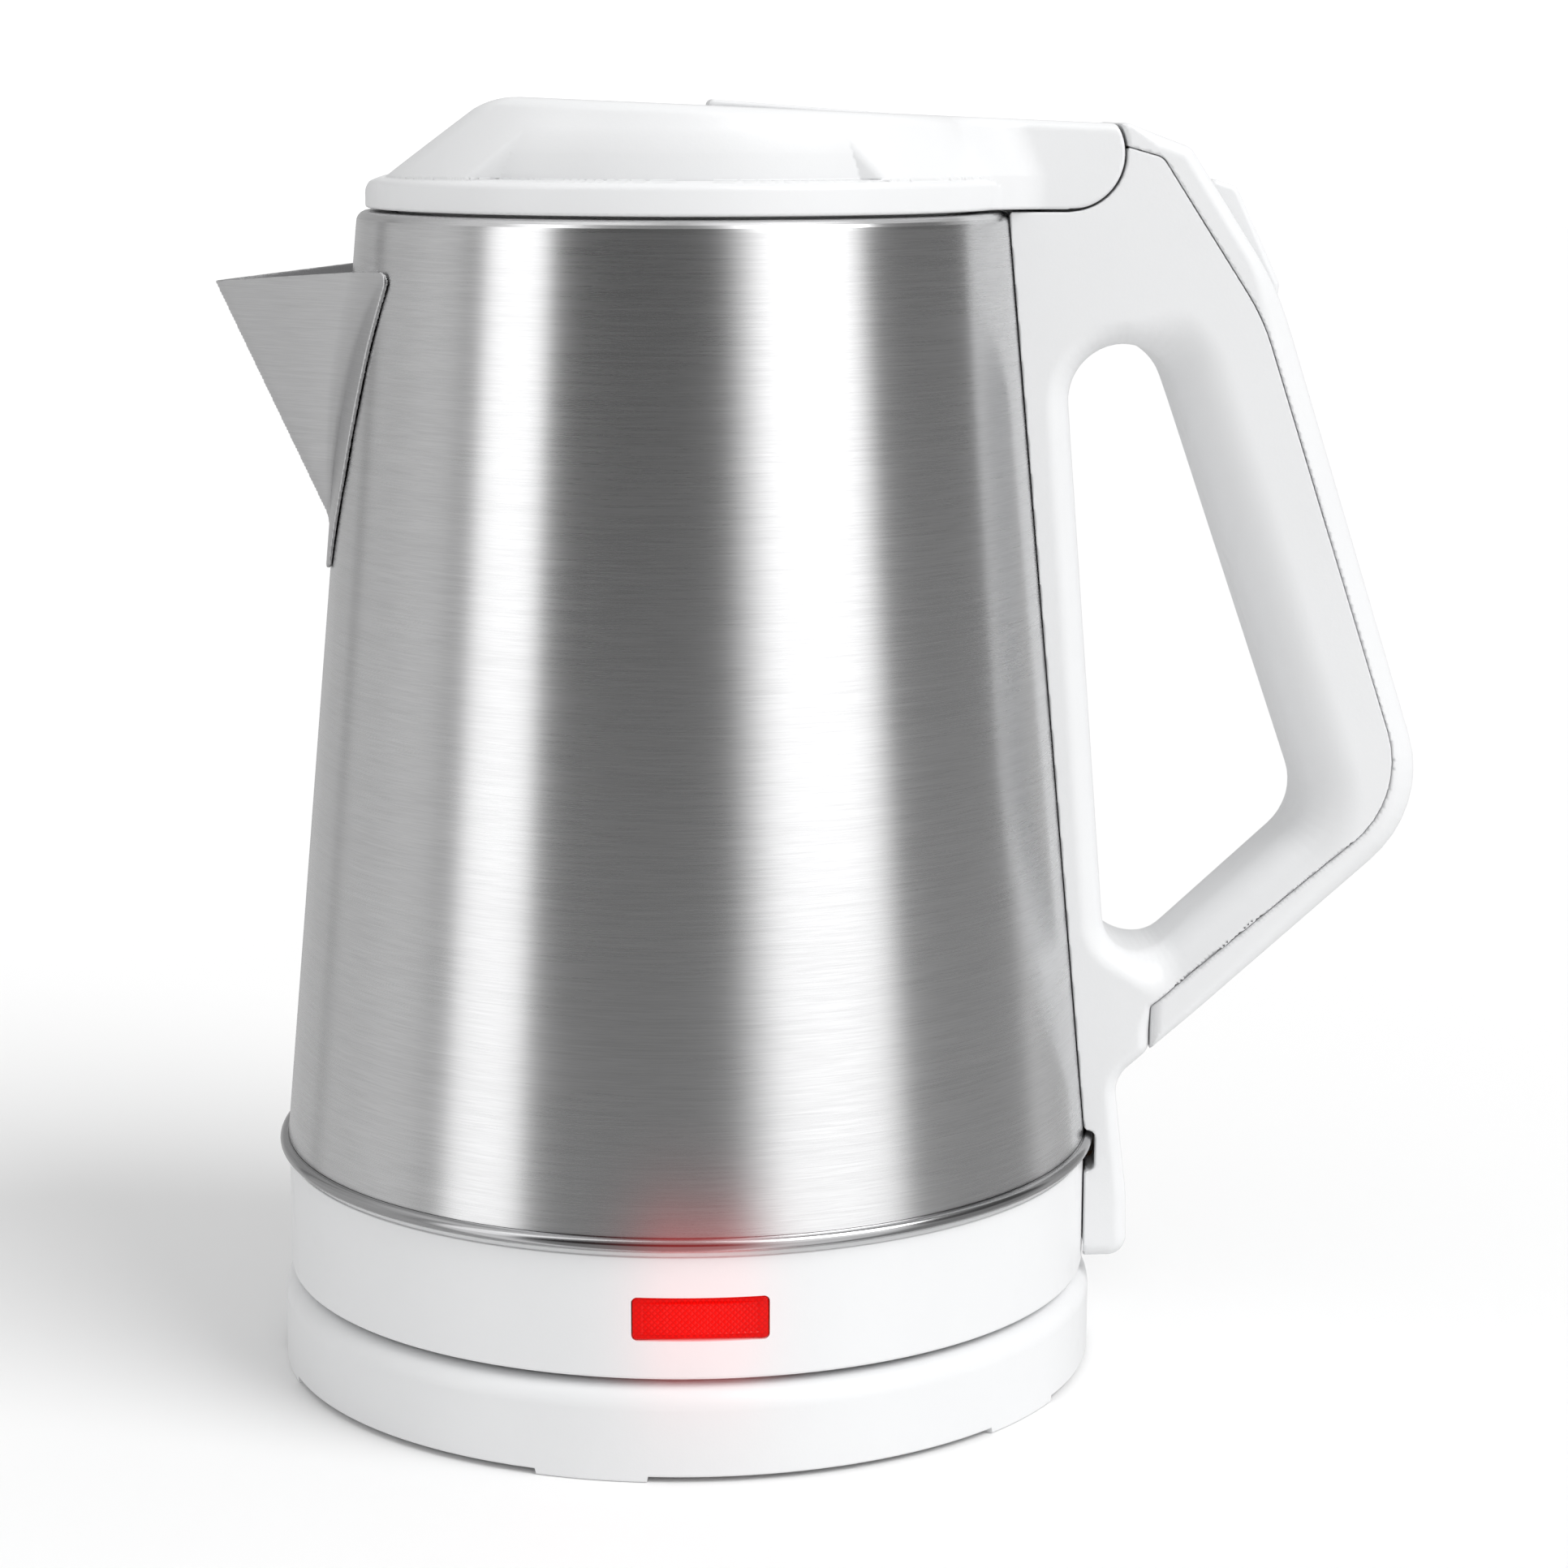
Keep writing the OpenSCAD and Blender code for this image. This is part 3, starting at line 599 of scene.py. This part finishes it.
COLLAR_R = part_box("lower_collar")[1].x / MM
COLLAR_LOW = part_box("lower_collar")[0].z / MM
COLLAR_WALL = 2.2
COLLAR_LIP = 0.35
COLLAR_TOP, LIP_TOP = 39.9, 40.8
SEAT_TOP, SEAT_UNDER, SEAT_REACH = 24, 22.2, 4
WINDOW_W = 23.4
WINDOW_H = 7.5
WINDOW_ROUND = 0.9
collar_outline = [
    (COLLAR_R - COLLAR_WALL, COLLAR_LOW, 0.3),
    (COLLAR_R, COLLAR_LOW, 0.7),
    (COLLAR_R, COLLAR_TOP, 0.25),
    (COLLAR_R - COLLAR_LIP, COLLAR_TOP, 0.1),
    (COLLAR_R - COLLAR_LIP, LIP_TOP, 0.3),
    (COLLAR_R - COLLAR_WALL, LIP_TOP, 0.2),
    (COLLAR_R - COLLAR_WALL, SEAT_TOP),
    (COLLAR_R - SEAT_REACH, SEAT_TOP),
    (COLLAR_R - SEAT_REACH, SEAT_UNDER),
    (COLLAR_R - COLLAR_WALL, SEAT_UNDER),
]
# A copy of the white plastic with the pilot lamp's red glow painted on round the window
collar_plastic = plastic("lit_collar_plastic", WHITE, SATIN, lit=0.16)
collar = turned("collar_ring", collar_outline, collar_plastic, "kettle", "lower_collar")


def window_shape(inset):
    """The window's outline, as (across, height) points with round corners."""
    w, h = WINDOW_W / 2 - inset, WINDOW_H / 2 - inset
    r = max(WINDOW_ROUND - inset, 0.3)
    low, high = WINDOW_Z / MM - h, WINDOW_Z / MM + h
    return rounded([(-w, low, r), (w, low, r), (w, high, r), (-w, high, r)])


def window_cutter(inset, depth):
    """A block in the window's shape that cuts through the collar."""
    ring = window_shape(inset)
    n = len(ring)
    points = [(x, y, z) for y in depth for x, z in ring]
    sides = [(i, n + i, n + (i + 1) % n, (i + 1) % n) for i in range(n)]
    ends = [tuple(range(n)), tuple(range(2 * n - 1, n - 1, -1))]
    mesh = bpy.data.meshes.new("cutter")
    mesh.from_pydata((np.array(points) * MM).tolist(), [], sides + ends)
    cutter = bpy.data.objects.new("cutter", mesh)
    bpy.context.scene.collection.objects.link(cutter)
    return cutter


def cut(made, cutter):
    """Cuts one piece with another, and leaves only the result."""
    hole = made.modifiers.new("hole", "BOOLEAN")
    hole.operation = "DIFFERENCE"
    hole.object = cutter
    made.modifiers.move(len(made.modifiers) - 1, 0)
    bpy.context.view_layer.update()
    seen = made.evaluated_get(bpy.context.evaluated_depsgraph_get())
    mesh = bpy.data.meshes.new_from_object(seen)
    made.modifiers.clear()
    made.data = mesh
    bpy.data.objects.remove(cutter)


WINDOW_GAP = 0.12
CUT_DEPTH = (-80, -66)
cut(collar, window_cutter(-WINDOW_GAP, CUT_DEPTH))

lens_red, lens_place, lens_paint = finish("lens_red", IOR=1.49)
lens_across = lens_place.part("X") * (1 / (WINDOW_W * MM / 2))
lens_up = (lens_place.part("Z") - WINDOW_Z) * (1 / (WINDOW_H * MM / 2))
lens_middle = 1 - (lens_across * lens_across * 0.5 + lens_up * lens_up * 0.25)
lens_speck = lens_place.grain(900, detail=2)
HATCH = 1.05 * MM


def fold(value):
    """0 to 1 and back over each pitch of the hatching."""
    turn = value * (1 / HATCH)
    share = turn.maths("FRACT", turn) - 0.5
    return share.maths("ABSOLUTE", share) * 2


hatch_a = fold(lens_place.part("X") + lens_place.part("Z"))
hatch_b = fold(lens_place.part("X") - lens_place.part("Z"))
lens_hatch = hatch_a.maths("MINIMUM", hatch_a, hatch_b)
# The lamp's light through the lens is painted on as red emission, brightest in its middle and varying over
# the hatching
lens_glow = lens_middle * (0.55 + 0.45 * lens_hatch.band(0.0, 0.6))
lens_paint(
    Base_Color=lens_speck.between((0.3, 0.002, 0.002), (0.4, 0.004, 0.003)),
    Roughness=0.16 + 0.08 * lens_speck,
    Emission_Color=lens_glow.between((0.2, 0.0, 0.0), (0.72, 0.002, 0.001)),
    Emission_Strength=1.0,
    Specular_IOR_Level=0.15,
)


LENS_GAP = 0.1
LENS_COLUMNS, LENS_ROWS = 232, 74
LENS_THICK = 2.0
BORDER_SIDE, BORDER_END = 1.0, 1.5
FIELD_SINK, DIAMOND_RISE = 0.18, 0.16
EDGE_DROP = 0.25


def window_lens():
    """The lens: a curved plate with small raised diamonds inside a plain border."""
    w, h, r = WINDOW_W / 2 - LENS_GAP, WINDOW_H / 2 - LENS_GAP, WINDOW_ROUND
    x, z = np.meshgrid(np.linspace(-w, w, LENS_COLUMNS), np.linspace(-h, h, LENS_ROWS), indexing="ij")
    # The square grid's corners are drawn in to the window's round corners
    over_x, over_z = np.maximum(np.abs(x) - w + r, 0), np.maximum(np.abs(z) - h + r, 0)
    far = np.hypot(over_x, over_z)
    square = np.maximum(over_x, over_z)
    shrink = np.where(far > 0, square / np.maximum(far, 1e-9), 1)
    x = np.where(far > 0, np.sign(x) * (w - r + over_x * shrink), x)
    z = np.where(far > 0, np.sign(z) * (h - r + over_z * shrink), z)
    pitch = HATCH / MM
    lifted = z + WINDOW_Z / MM
    ridge_a = np.abs(((x + lifted) / pitch) % 1 - 0.5) * 2
    ridge_b = np.abs(((x - lifted) / pitch) % 1 - 0.5) * 2
    inner = np.clip(np.minimum(w - BORDER_END - np.abs(x), h - BORDER_SIDE - np.abs(z)) / 0.15, 0, 1)
    lift = -FIELD_SINK * inner + DIAMOND_RISE * inner * np.minimum(ridge_a, ridge_b)
    edge = np.minimum(w - np.abs(x), h - np.abs(z))
    lift -= EDGE_DROP * np.clip(1 - edge / EDGE_DROP, 0, 1) ** 2
    radius = COLLAR_R - LENS_GAP + lift
    front = np.stack([x, -np.sqrt(radius**2 - x**2), lifted], 2)
    back = front + np.array([0, LENS_THICK, 0])
    n, m = x.shape
    points = np.concatenate([front.reshape(-1, 3), back.reshape(-1, 3)])
    at = np.arange(n * m).reshape(n, m)
    faces = []
    for sheet, flip in ((at, False), (at + n * m, True)):
        quad = np.stack([sheet[:-1, :-1], sheet[1:, :-1], sheet[1:, 1:], sheet[:-1, 1:]], 2).reshape(-1, 4)
        faces.append(quad[:, ::-1] if flip else quad)
    border = np.concatenate([at[:, 0], at[-1, 1:], at[-2::-1, -1], at[0, -2:0:-1]])
    after = np.roll(border, -1)
    faces.append(np.stack([border, border + n * m, after + n * m, after], 1))
    return points, np.concatenate(faces)


lens_points, lens_faces = window_lens()
lens = piece("pilot_window", lens_points, lens_faces, lens_red, "kettle", "window_lens", slot="lens_red")
LENS_CREASE = math.radians(25)
lens.data.set_sharp_from_angle(angle=LENS_CREASE)

lamp_glow, lamp_place, lamp_paint = finish("lamp_glow", Emission_Strength=2.0)
lamp_paint(
    Base_Color=lamp_place.grain(300).between((0.8, 0.3, 0.2), (0.9, 0.45, 0.3)),
    Emission_Color=lamp_place.grain(200).between((1.0, 0.25, 0.1), (1.0, 0.4, 0.2)),
    Roughness=0.15 + 0.1 * lamp_place.grain(500),
)
coat(lamp_glow, "indicator_lamp")
coat(white_plastic, "bottom_cover")


# ---------- Handle ----------
# The handle is two mouldings: a channel that holds the switch and the wires, and a crowned cover on its back.
# The channel runs from the hinge over the grip and the lower arm into a strip and a tail on the jug.
# A bracket and a screw hold its head to the jug's wall.

HALF_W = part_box("handle_body")[1].y / MM
hinge = next(j for j in frame["joints"] if j["name"] == "lid_hinge")["pos_m"]
HINGE_X, HINGE_Z = hinge[0] / MM, hinge[2] / MM
BARREL_R = 9.7
BARREL_GAP = 0.42
EAR_Y = 8.5

FINGER_LOOP = [(68.0, 189.6, 10), (85.6, 189.6, 10), (115.8, 102.9, 11), (78.0, 68.3, 7.7)]
CHANNEL = [
    (40, 213.2),
    (HINGE_X, 213.2),
    *arc((HINGE_X, HINGE_Z), BARREL_R + BARREL_GAP, -86, 7, 12),
    (84.6, 222.8, 2.5),
    (103.2, 194.4, 40),
    (132.4, 106.5, 19),
    (85.6, 67.4),
    (85.6, 58.9, 3),
    (79.3, 53.4, 6),
    (81.9, 31.0, 30),
    (82.1, 19.1, 3.6),
    (40, 19.1),
]
COVER_BACK = [
    (78.2, 228.9, 0.5),
    (89.9, 224.6, 3),
    (107.1, 198.1, 60),
    (137.8, 103.7, 22),
    (85.6, 58.9),
    (85.6, 90),
    (64, 150),
    (79.4, 216),
    *arc((HINGE_X, HINGE_Z), BARREL_R + 0.55, 0, 31, 5),
]
HOLLOW = [
    (83.2, 228),
    (81.6, 213),
    (74, 204.5),
    (71.5, 194.5),
    (87.5, 194.0),
    (91.6, 183),
    (119.3, 102.6, 8),
    (93.6, 79.0),
    (89.2, 72.9),
    (88.6, 66),
    (140, 98),
    (140, 120),
    (104, 214),
]
STRIP_ROUND = 5
GRIP_ROUND = 10
GRIP_FROM_X, GRIP_OVER = 79, 12
HANDLE_WALL = 2.6
WALL_BITE = 9.0
SEAM_ROUND, TAIL_ROUND = 0.25, 2.5
TAIL_FROM_Z, TAIL_OVER = 72, 10
# The strip follows the jug above this height and the collar below it, with a notch for the bead
COLLAR_JOIN_Z = 43
NOTCH_R, NOTCH_Z, NOTCH_HALF = 76.9, 40, 3.9
POCKET_DEPTH = 9.5
PIN_HOLE_R = 1.55
SLOPE_TOP = np.array([93.7, 218.3])
SLOPE_END = np.array([107.1, 198.1])
LEVER_W = 17
slope_len = float(np.linalg.norm(SLOPE_END - SLOPE_TOP))
slope_along = (SLOPE_END - SLOPE_TOP) / slope_len
slope_out = np.array([-slope_along[1], slope_along[0]])


def slope_place(x, z):
    """A place in the slope's own axes: down along it, and out from it."""
    dx, dz = x - SLOPE_TOP[0], z - SLOPE_TOP[1]
    return dx * slope_along[0] + dz * slope_along[1], dx * slope_out[0] + dz * slope_out[1]


def lever_pocket(x, y, z):
    """The opening for the switch lever, with a little room at its ends and sides."""
    along, out = slope_place(x, z)
    ends = np.abs(along - slope_len / 2 + 0.2) - slope_len / 2 - 0.75
    return both(np.maximum(ends, np.abs(y) - LEVER_W / 2 - 0.35), -POCKET_DEPTH - out, 0)


def from_hinge(x, z):
    return np.hypot(x - HINGE_X, z - HINGE_Z)


def channel_field(x, y, z):
    across = np.abs(y) - HALF_W
    front = (jug_radius(z) - WALL_BITE - x) * WALL_LEAN
    # The loop side and the jug side are well rounded, the seam side is crisp
    grip = np.clip((x - GRIP_FROM_X) / GRIP_OVER, 0, 1)
    grip_round = STRIP_ROUND + (GRIP_ROUND - STRIP_ROUND) * grip * grip * (3 - 2 * grip)
    inner = both(both(front, -outline_distance(FINGER_LOOP, x, z), STRIP_ROUND), across, grip_round)
    low = np.clip((TAIL_FROM_Z - z) / TAIL_OVER, 0, 1)
    seam_round = SEAM_ROUND + TAIL_ROUND * low * low * (3 - 2 * low)
    outer = both(outline_distance(CHANNEL, x, z), across, seam_round)
    solid = np.maximum(inner, outer)
    hollow = both(outline_distance(HOLLOW, x, z), across + HANDLE_WALL, GRIP_ROUND - HANDLE_WALL + 1)
    solid = np.maximum(solid, -hollow)
    r = np.hypot(x, y)
    notch = both(r - NOTCH_R, np.abs(z - NOTCH_Z) - NOTCH_HALF, 1.2)
    jug = np.maximum(r - jug_radius(z) - 0.12, COLLAR_JOIN_Z - z)
    collar_side = np.maximum(r - COLLAR_R - 0.3, z - COLLAR_JOIN_Z)
    solid = both(solid, -np.minimum(np.minimum(jug, collar_side), notch), 0.3)
    solid = both(solid, -lever_pocket(x, y, z), 0.2)
    # Two ears carry the hinge pin inside the lid's barrel
    ear = np.minimum(from_hinge(x, z) - 4, np.maximum(np.abs(x - HINGE_X) - 4, np.abs(z - 217) - 6.4))
    ear = both(ear, np.abs(np.abs(y) - EAR_Y) - 2, 0.5)
    return np.maximum(np.minimum(solid, ear), PIN_HOLE_R - from_hinge(x, z))


cast(
    "handle_channel",
    channel_field,
    (52, -15.6, 18),
    (138.6, 15.6, 228),
    0.65,
    white_plastic,
    "kettle",
    "handle_body",
)


# The cover's edges are more rounded down the grip, and less so at its lower end and at the hinge
CROWN_HEAD, CROWN_GRIP, CROWN_END, CROWN_HINGE = 2.6, 2.8, 3.2, 1.8
# The seam is a hair wider towards the top
SEAM_GAP, SEAM_OPENS = 0.06, 0.09


def cover_field(x, y, z):
    across = np.abs(y) - HALF_W
    grip = np.clip((206 - z) / 16, 0, 1)
    end = np.clip((96 - z) / 30, 0, 1)
    crown = CROWN_HEAD + CROWN_GRIP * grip * grip * (3 - 2 * grip) - CROWN_END * end
    crown = crown - CROWN_HINGE * np.clip((84 - x) / 5, 0, 1)
    solid = both(outline_distance(COVER_BACK, x, z), across, crown)
    gap = SEAM_GAP + SEAM_OPENS * np.clip((z - 90) / 100, 0, 1)
    solid = both(solid, gap - outline_distance(CHANNEL, x, z), 0.2)
    return both(solid, -lever_pocket(x, y, z), 0.5)


cast(
    "handle_back_cover",
    cover_field,
    (75.4, -15.6, 57.5),
    (138.6, 15.6, 231),
    0.55,
    white_plastic,
    "kettle",
    "handle_cover",
)

wire_skin, wire_place, wire_paint = finish("wire_skin")
wire_paint(
    Base_Color=wire_place.grain(120).between((0.2, 0.12, 0.07), (0.3, 0.18, 0.1)),
    Roughness=0.45 + 0.1 * wire_place.grain(700),
)
coat(wire_skin, "handle_wires")
seal_rubber, seal_place, seal_paint = finish("seal_rubber")
seal_paint(
    Base_Color=seal_place.grain(150).between((0.6, 0.6, 0.6), (0.72, 0.72, 0.72)),
    Roughness=0.55 + 0.15 * seal_place.grain(900),
    Normal=seal_place.grain(2200).bump(0.2, 0.00005),
)
coat(seal_rubber, "steam_seal")


# ---------- Switch lever ----------
# The lever is a thin moulded cap that rocks on two trunnions, which snap into the cover.
# Its upper end stands proud while the kettle is on.

# Both outlines are in the slope's own axes: down along it, and out from it
LEVER_TOP = [
    (0.1, -3),
    (0.1, 1.4, 1.5),
    (3.6, 4.2, 2.2),
    (22.6, 1.35, 1.0),
    (24.2, 0.0, 0.4),
    (22.4, -3),
    (14.6, -6.6),
    (9.4, -6.6),
]
LEVER_HOLLOW = [(4, -0.4), (20.5, -1.4), (19.5, -8), (4, -8)]
HOLLOW_HALF_W = 6.8
TRUNNION_AT = (12, -5.3)
TRUNNION_R, TRUNNION_Y = 1.5, 11


def lever_field(x, y, z):
    along, out = slope_place(x, z)
    cap = both(outline_distance(LEVER_TOP, along, out), np.abs(y) - LEVER_W / 2, 1.1)
    inside = np.maximum(outline_distance(LEVER_HOLLOW, along, out), np.abs(y) - HOLLOW_HALF_W)
    off_axis = np.hypot(along - TRUNNION_AT[0], out - TRUNNION_AT[1])
    trunnion = np.maximum(off_axis - TRUNNION_R, np.abs(y) - TRUNNION_Y)
    return np.minimum(np.maximum(cap, -inside), trunnion)


lever_low, lever_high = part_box("switch_lever")
cast(
    "switch_lever_cap",
    lever_field,
    (lever_low.x / MM - 1.5, -11.6, lever_low.z / MM - 1.5),
    (lever_high.x / MM + 2.5, 11.6, lever_high.z / MM + 2.5),
    0.32,
    white_plastic,
    "switch",
    "switch_lever",
)


# ---------- Lid ----------
# The lid is a moulded dome with a flat top that falls towards the hinge, and a steep slope to the spout.
# Each side has a shallow finger recess, and a barrel at the back closes over the hinge.

LID_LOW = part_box("lid_shell")[0].z / MM - 0.2
LID_R = -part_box("lid_shell")[0].x / MM
PEAK_X, PEAK_Z = -33.2, 233.3
TOP_FALL = 0.0415
# The dome's wall and the skirt under it
DOME_R, DOME_LEAN, DOME_FOOT_Z = 56.2, 0.42, 219.8
SKIRT_TOP_Z = 219.25
# The slope over the spout goes through this point, and faces along this direction
FRONT_X, FRONT_Z = -35.4, 232.3
FRONT_FACES = (-0.589, 0.808)
LID_WALL = 2.3
RECESS = [(-21.6, 232), (20.1, 232), (40.7, 212), (-47.5, 212)]
RECESS_FLOOR_R = 53.6
RECESS_LOW = 219.5
RECESS_DRAFT = 1.3
LINER_SEAT_R, LINER_SEAT_Z = 55.2, 216.3
WELL_X, WELL_HALF_L, WELL_HALF_W, WELL_FLOOR_Z = 20.9, 17.5, 7.9, 224


def lid_top(x, z):
    """Height above the lid's flat top, which falls towards the hinge."""
    return z - PEAK_Z + TOP_FALL * (x - PEAK_X)


def lid_field(x, y, z):
    r = np.hypot(x, y)
    block = np.maximum(np.abs(y) - HALF_W, 20 - x)
    side = (r - DOME_R + DOME_LEAN * np.maximum(z - DOME_FOOT_Z, 0)) * 0.92
    top = lid_top(x, z)
    front = FRONT_FACES[0] * (x - FRONT_X) + FRONT_FACES[1] * (z - FRONT_Z)
    dome = both(either(side, block, 9), both(top, front, 2.6), 1.7)
    skirt_top = z - SKIRT_TOP_Z + 0.6 * np.maximum(r - 56.3, 0)
    skirt = both(either(r - LID_R, block, 7), skirt_top, 0.5)
    skirt = both(skirt, front - 1.2, 1.2)
    # The recess is cut straight down into the leaning wall, and its ends are well drafted
    drafted = outline_distance(RECESS, x, z) - RECESS_DRAFT * np.minimum(side, 0)
    recess = np.maximum(drafted, RECESS_FLOOR_R - r)
    dome = both(dome, -np.maximum(recess, RECESS_LOW - z), 0.9)
    solid = np.minimum(dome, skirt)
    barrel = np.minimum(x - HINGE_X, from_hinge(x, z) - BARREL_R)
    solid = both(solid, barrel, 0.6)
    solid = both(solid, LID_LOW - z, 0.5)
    # The inside is hollow, down to the seat of the liner's flange
    dome_inside = np.maximum(r - 51.4 + 0.2 * (z - 217), top + LID_WALL)
    hollow = np.maximum(dome_inside, np.maximum(front + LID_WALL, 205 - z))
    hollow = np.minimum(hollow, np.maximum(r - LINER_SEAT_R, z - LINER_SEAT_Z))
    hollow = np.maximum(hollow, x - 54.5)
    solid = np.maximum(solid, -hollow)
    # Slots in the barrel swing past the handle's ears, and the pin's hole stops short of its ends
    slots = np.maximum(np.abs(x - HINGE_X - 4.7) - 9.2, np.abs(z - HINGE_Z + 4.8) - 9.3)
    solid = np.maximum(solid, -np.maximum(slots, np.abs(np.abs(y) - EAR_Y) - 2.4))
    solid = np.maximum(solid, -np.maximum(from_hinge(x, z) - 1.6, np.abs(y) - 13.9))
    well = np.maximum(np.abs(x - WELL_X) - WELL_HALF_L, np.abs(y) - WELL_HALF_W)
    return both(solid, -np.maximum(well, WELL_FLOOR_Z - z), 0.35)


cast(
    "lid_dome",
    lid_field,
    (-58.6, -58.6, 212.6),
    (78.6, 58.6, 234.4),
    0.5,
    white_plastic,
    "lid",
    "lid_shell",
)
coat(white_plastic, "lid_liner", "latch_bolt")


# ---------- Release button ----------
# The thumb button is a moulded plate in a well on the lid's top, hung on a pin at its back.
# Its front edge is a little proud, and a finger under it works the latch.

BUTTON_HALF_L, BUTTON_HALF_W = 16.9, 7.5
BUTTON_UNDER_Z = 228.4
BUTTON_SKIN = 1.9
PROUD = 1.15
PIVOT_X, PIVOT_Z = 35.5, 226.6
PIVOT_HALF_L = 10.3


def button_field(x, y, z):
    top = lid_top(x, z)
    proud = PROUD * np.clip((38 - x) / 34, 0, 1)
    plate = both(top - proud, np.abs(x - WELL_X) - BUTTON_HALF_L, 1.2)
    plate = both(np.maximum(plate, BUTTON_UNDER_Z - z), np.abs(y) - BUTTON_HALF_W, 0.7)
    hollow = np.maximum(np.maximum(np.abs(x - 20.5) - 15, np.abs(y) - 6), top - proud + BUTTON_SKIN)
    plate = np.maximum(plate, -hollow)
    pin = np.maximum(np.hypot(x - PIVOT_X, z - PIVOT_Z) - 1, np.abs(y) - PIVOT_HALF_L)
    legs = np.maximum(np.abs(x - PIVOT_X) - 1.6, np.abs(z - 227.4) - 2.2)
    legs = np.maximum(legs, np.abs(np.abs(y) - 6.75) - 0.75)
    finger = np.maximum(np.maximum(np.abs(x - 6.6) - 1, np.abs(z - 225.5) - 4), np.abs(y) - 2.2)
    return np.minimum(np.minimum(plate, pin), np.minimum(legs, finger))


cast(
    "thumb_button",
    button_field,
    (3, -11, 220.5),
    (39.4, 11, 233.6),
    0.35,
    white_plastic,
    "button",
    "release_button",
)


# ---------- Studio ----------
# The kettle stands on a plain pale floor in a white room.
# Tall soft panels to its left and right give the steel its bright bands.

FLOOR_HALF = 6.0
floor_corners = [(x * FLOOR_HALF, y * FLOOR_HALF, 0) for x, y in ((-1, -1), (1, -1), (1, 1), (-1, 1))]
floor_mesh = bpy.data.meshes.new("studio_floor")
floor_mesh.from_pydata(floor_corners, [], [(0, 1, 2, 3)])
studio_floor = bpy.data.objects.new("studio_floor", floor_mesh)
bpy.context.scene.collection.objects.link(studio_floor)
floor_white, floor_place, floor_paint = finish("floor_white")
floor_paint(
    Base_Color=floor_place.grain(3).between((0.87, 0.87, 0.87), (0.88, 0.88, 0.88)),
    Roughness=0.7 + 0.1 * floor_place.grain(8),
    Specular_IOR_Level=0.0,
)
floor_mesh.materials.append(floor_white)
studio_floor.visible_glossy = False

KEY_TRAVEL = (-0.56, 0.42, -0.71)
key = bpy.data.lights.new("key_from_right", "SUN")
key.energy = 1.75
key.angle = math.radians(36)
key_light = bpy.data.objects.new("key_from_right", key)
key_light.rotation_euler = Vector(KEY_TRAVEL).to_track_quat("-Z", "Y").to_euler()
bpy.context.scene.collection.objects.link(key_light)

world = bpy.data.worlds.new("studio")
bpy.context.scene.world = world
world.use_nodes = True
sky = world.node_tree
direction = Wire(sky, None).make("ShaderNodeTexCoord", out=0)
# Degrees round the room from the window's side of the kettle, growing towards the handle
turn = direction.part("X").maths("ARCTAN2", direction.part("X"), -1 * direction.part("Y"))
bearing = turn * (180 / math.pi)
height = direction.part("Z")


def panel(middle, half, soft):
    """A tall soft panel at a bearing, as 1 in it and 0 outside."""
    off = (bearing - middle).maths("ABSOLUTE", bearing - middle)
    return 1 - off.band(half - soft, half + soft)


# What the steel mirrors of the room: bright panels and dark gaps on a grey wall.
# Each is its light, then the bearing of its middle, its half width and its soft edge.
PANELS = [
    (-0.58, -18, 32, 4),
    (-0.5, 89, 27, 4),
    (-0.2, -79, 4, 2),
    (-0.4, -132, 3, 2),
    (1.45, -60.5, 12, 2.5),
    (1.2, 40.5, 19.5, 6),
    (0.3, 115, 3, 2),
    (-0.16, 150, 25, 4),
    (0.12, -95, 10, 10),
    (-0.16, -165, 26, 8),
]
room = 0.62
for light, *shape in PANELS:
    room = room + light * panel(*shape)
upward = height.band(-0.15, 0.15)
room = room * (0.5 + 0.5 * upward) + 0.36 * (1 - upward) + 0.4 * height.band(0.4, 0.9)
# The backdrop itself is seen a little brighter than it lights the kettle
DAYLIGHT, SEEN_LIFT = 0.76, 0.4
daylight = DAYLIGHT + SEEN_LIFT * Wire(sky, None).make("ShaderNodeLightPath", out=0)
mirrored = Wire(sky, None).make("ShaderNodeLightPath", out=3)
choice = {"Factor": mirrored, 2: daylight, 3: room}
backdrop = mirrored.make("ShaderNodeMix", {"data_type": "FLOAT"}, choice)
surround = sky.nodes["Background"]
sky.links.new(backdrop.socket, surround.inputs["Strength"])
surround.inputs["Color"].default_value = (1, 1, 1, 1)

CAMERA_AT = Vector((-18.94, -666.66, 233.43))
LOOK_AT = Vector((18.15, 0, 107.37))
CAMERA_ROLL = 0.002
camera = bpy.data.objects.new("camera", bpy.data.cameras.new("camera"))
bpy.context.scene.collection.objects.link(camera)
camera.location = CAMERA_AT * MM
look = (LOOK_AT * MM - camera.location).to_track_quat("-Z", "Y").to_matrix()
camera.rotation_euler = (look @ Matrix.Rotation(CAMERA_ROLL, 3, "Z")).to_euler()
camera.data.lens = 83.68
camera.data.sensor_width = 36
camera.data.clip_start = 0.01
bpy.context.scene.camera = camera
bpy.context.scene.view_settings.view_transform = "Standard"
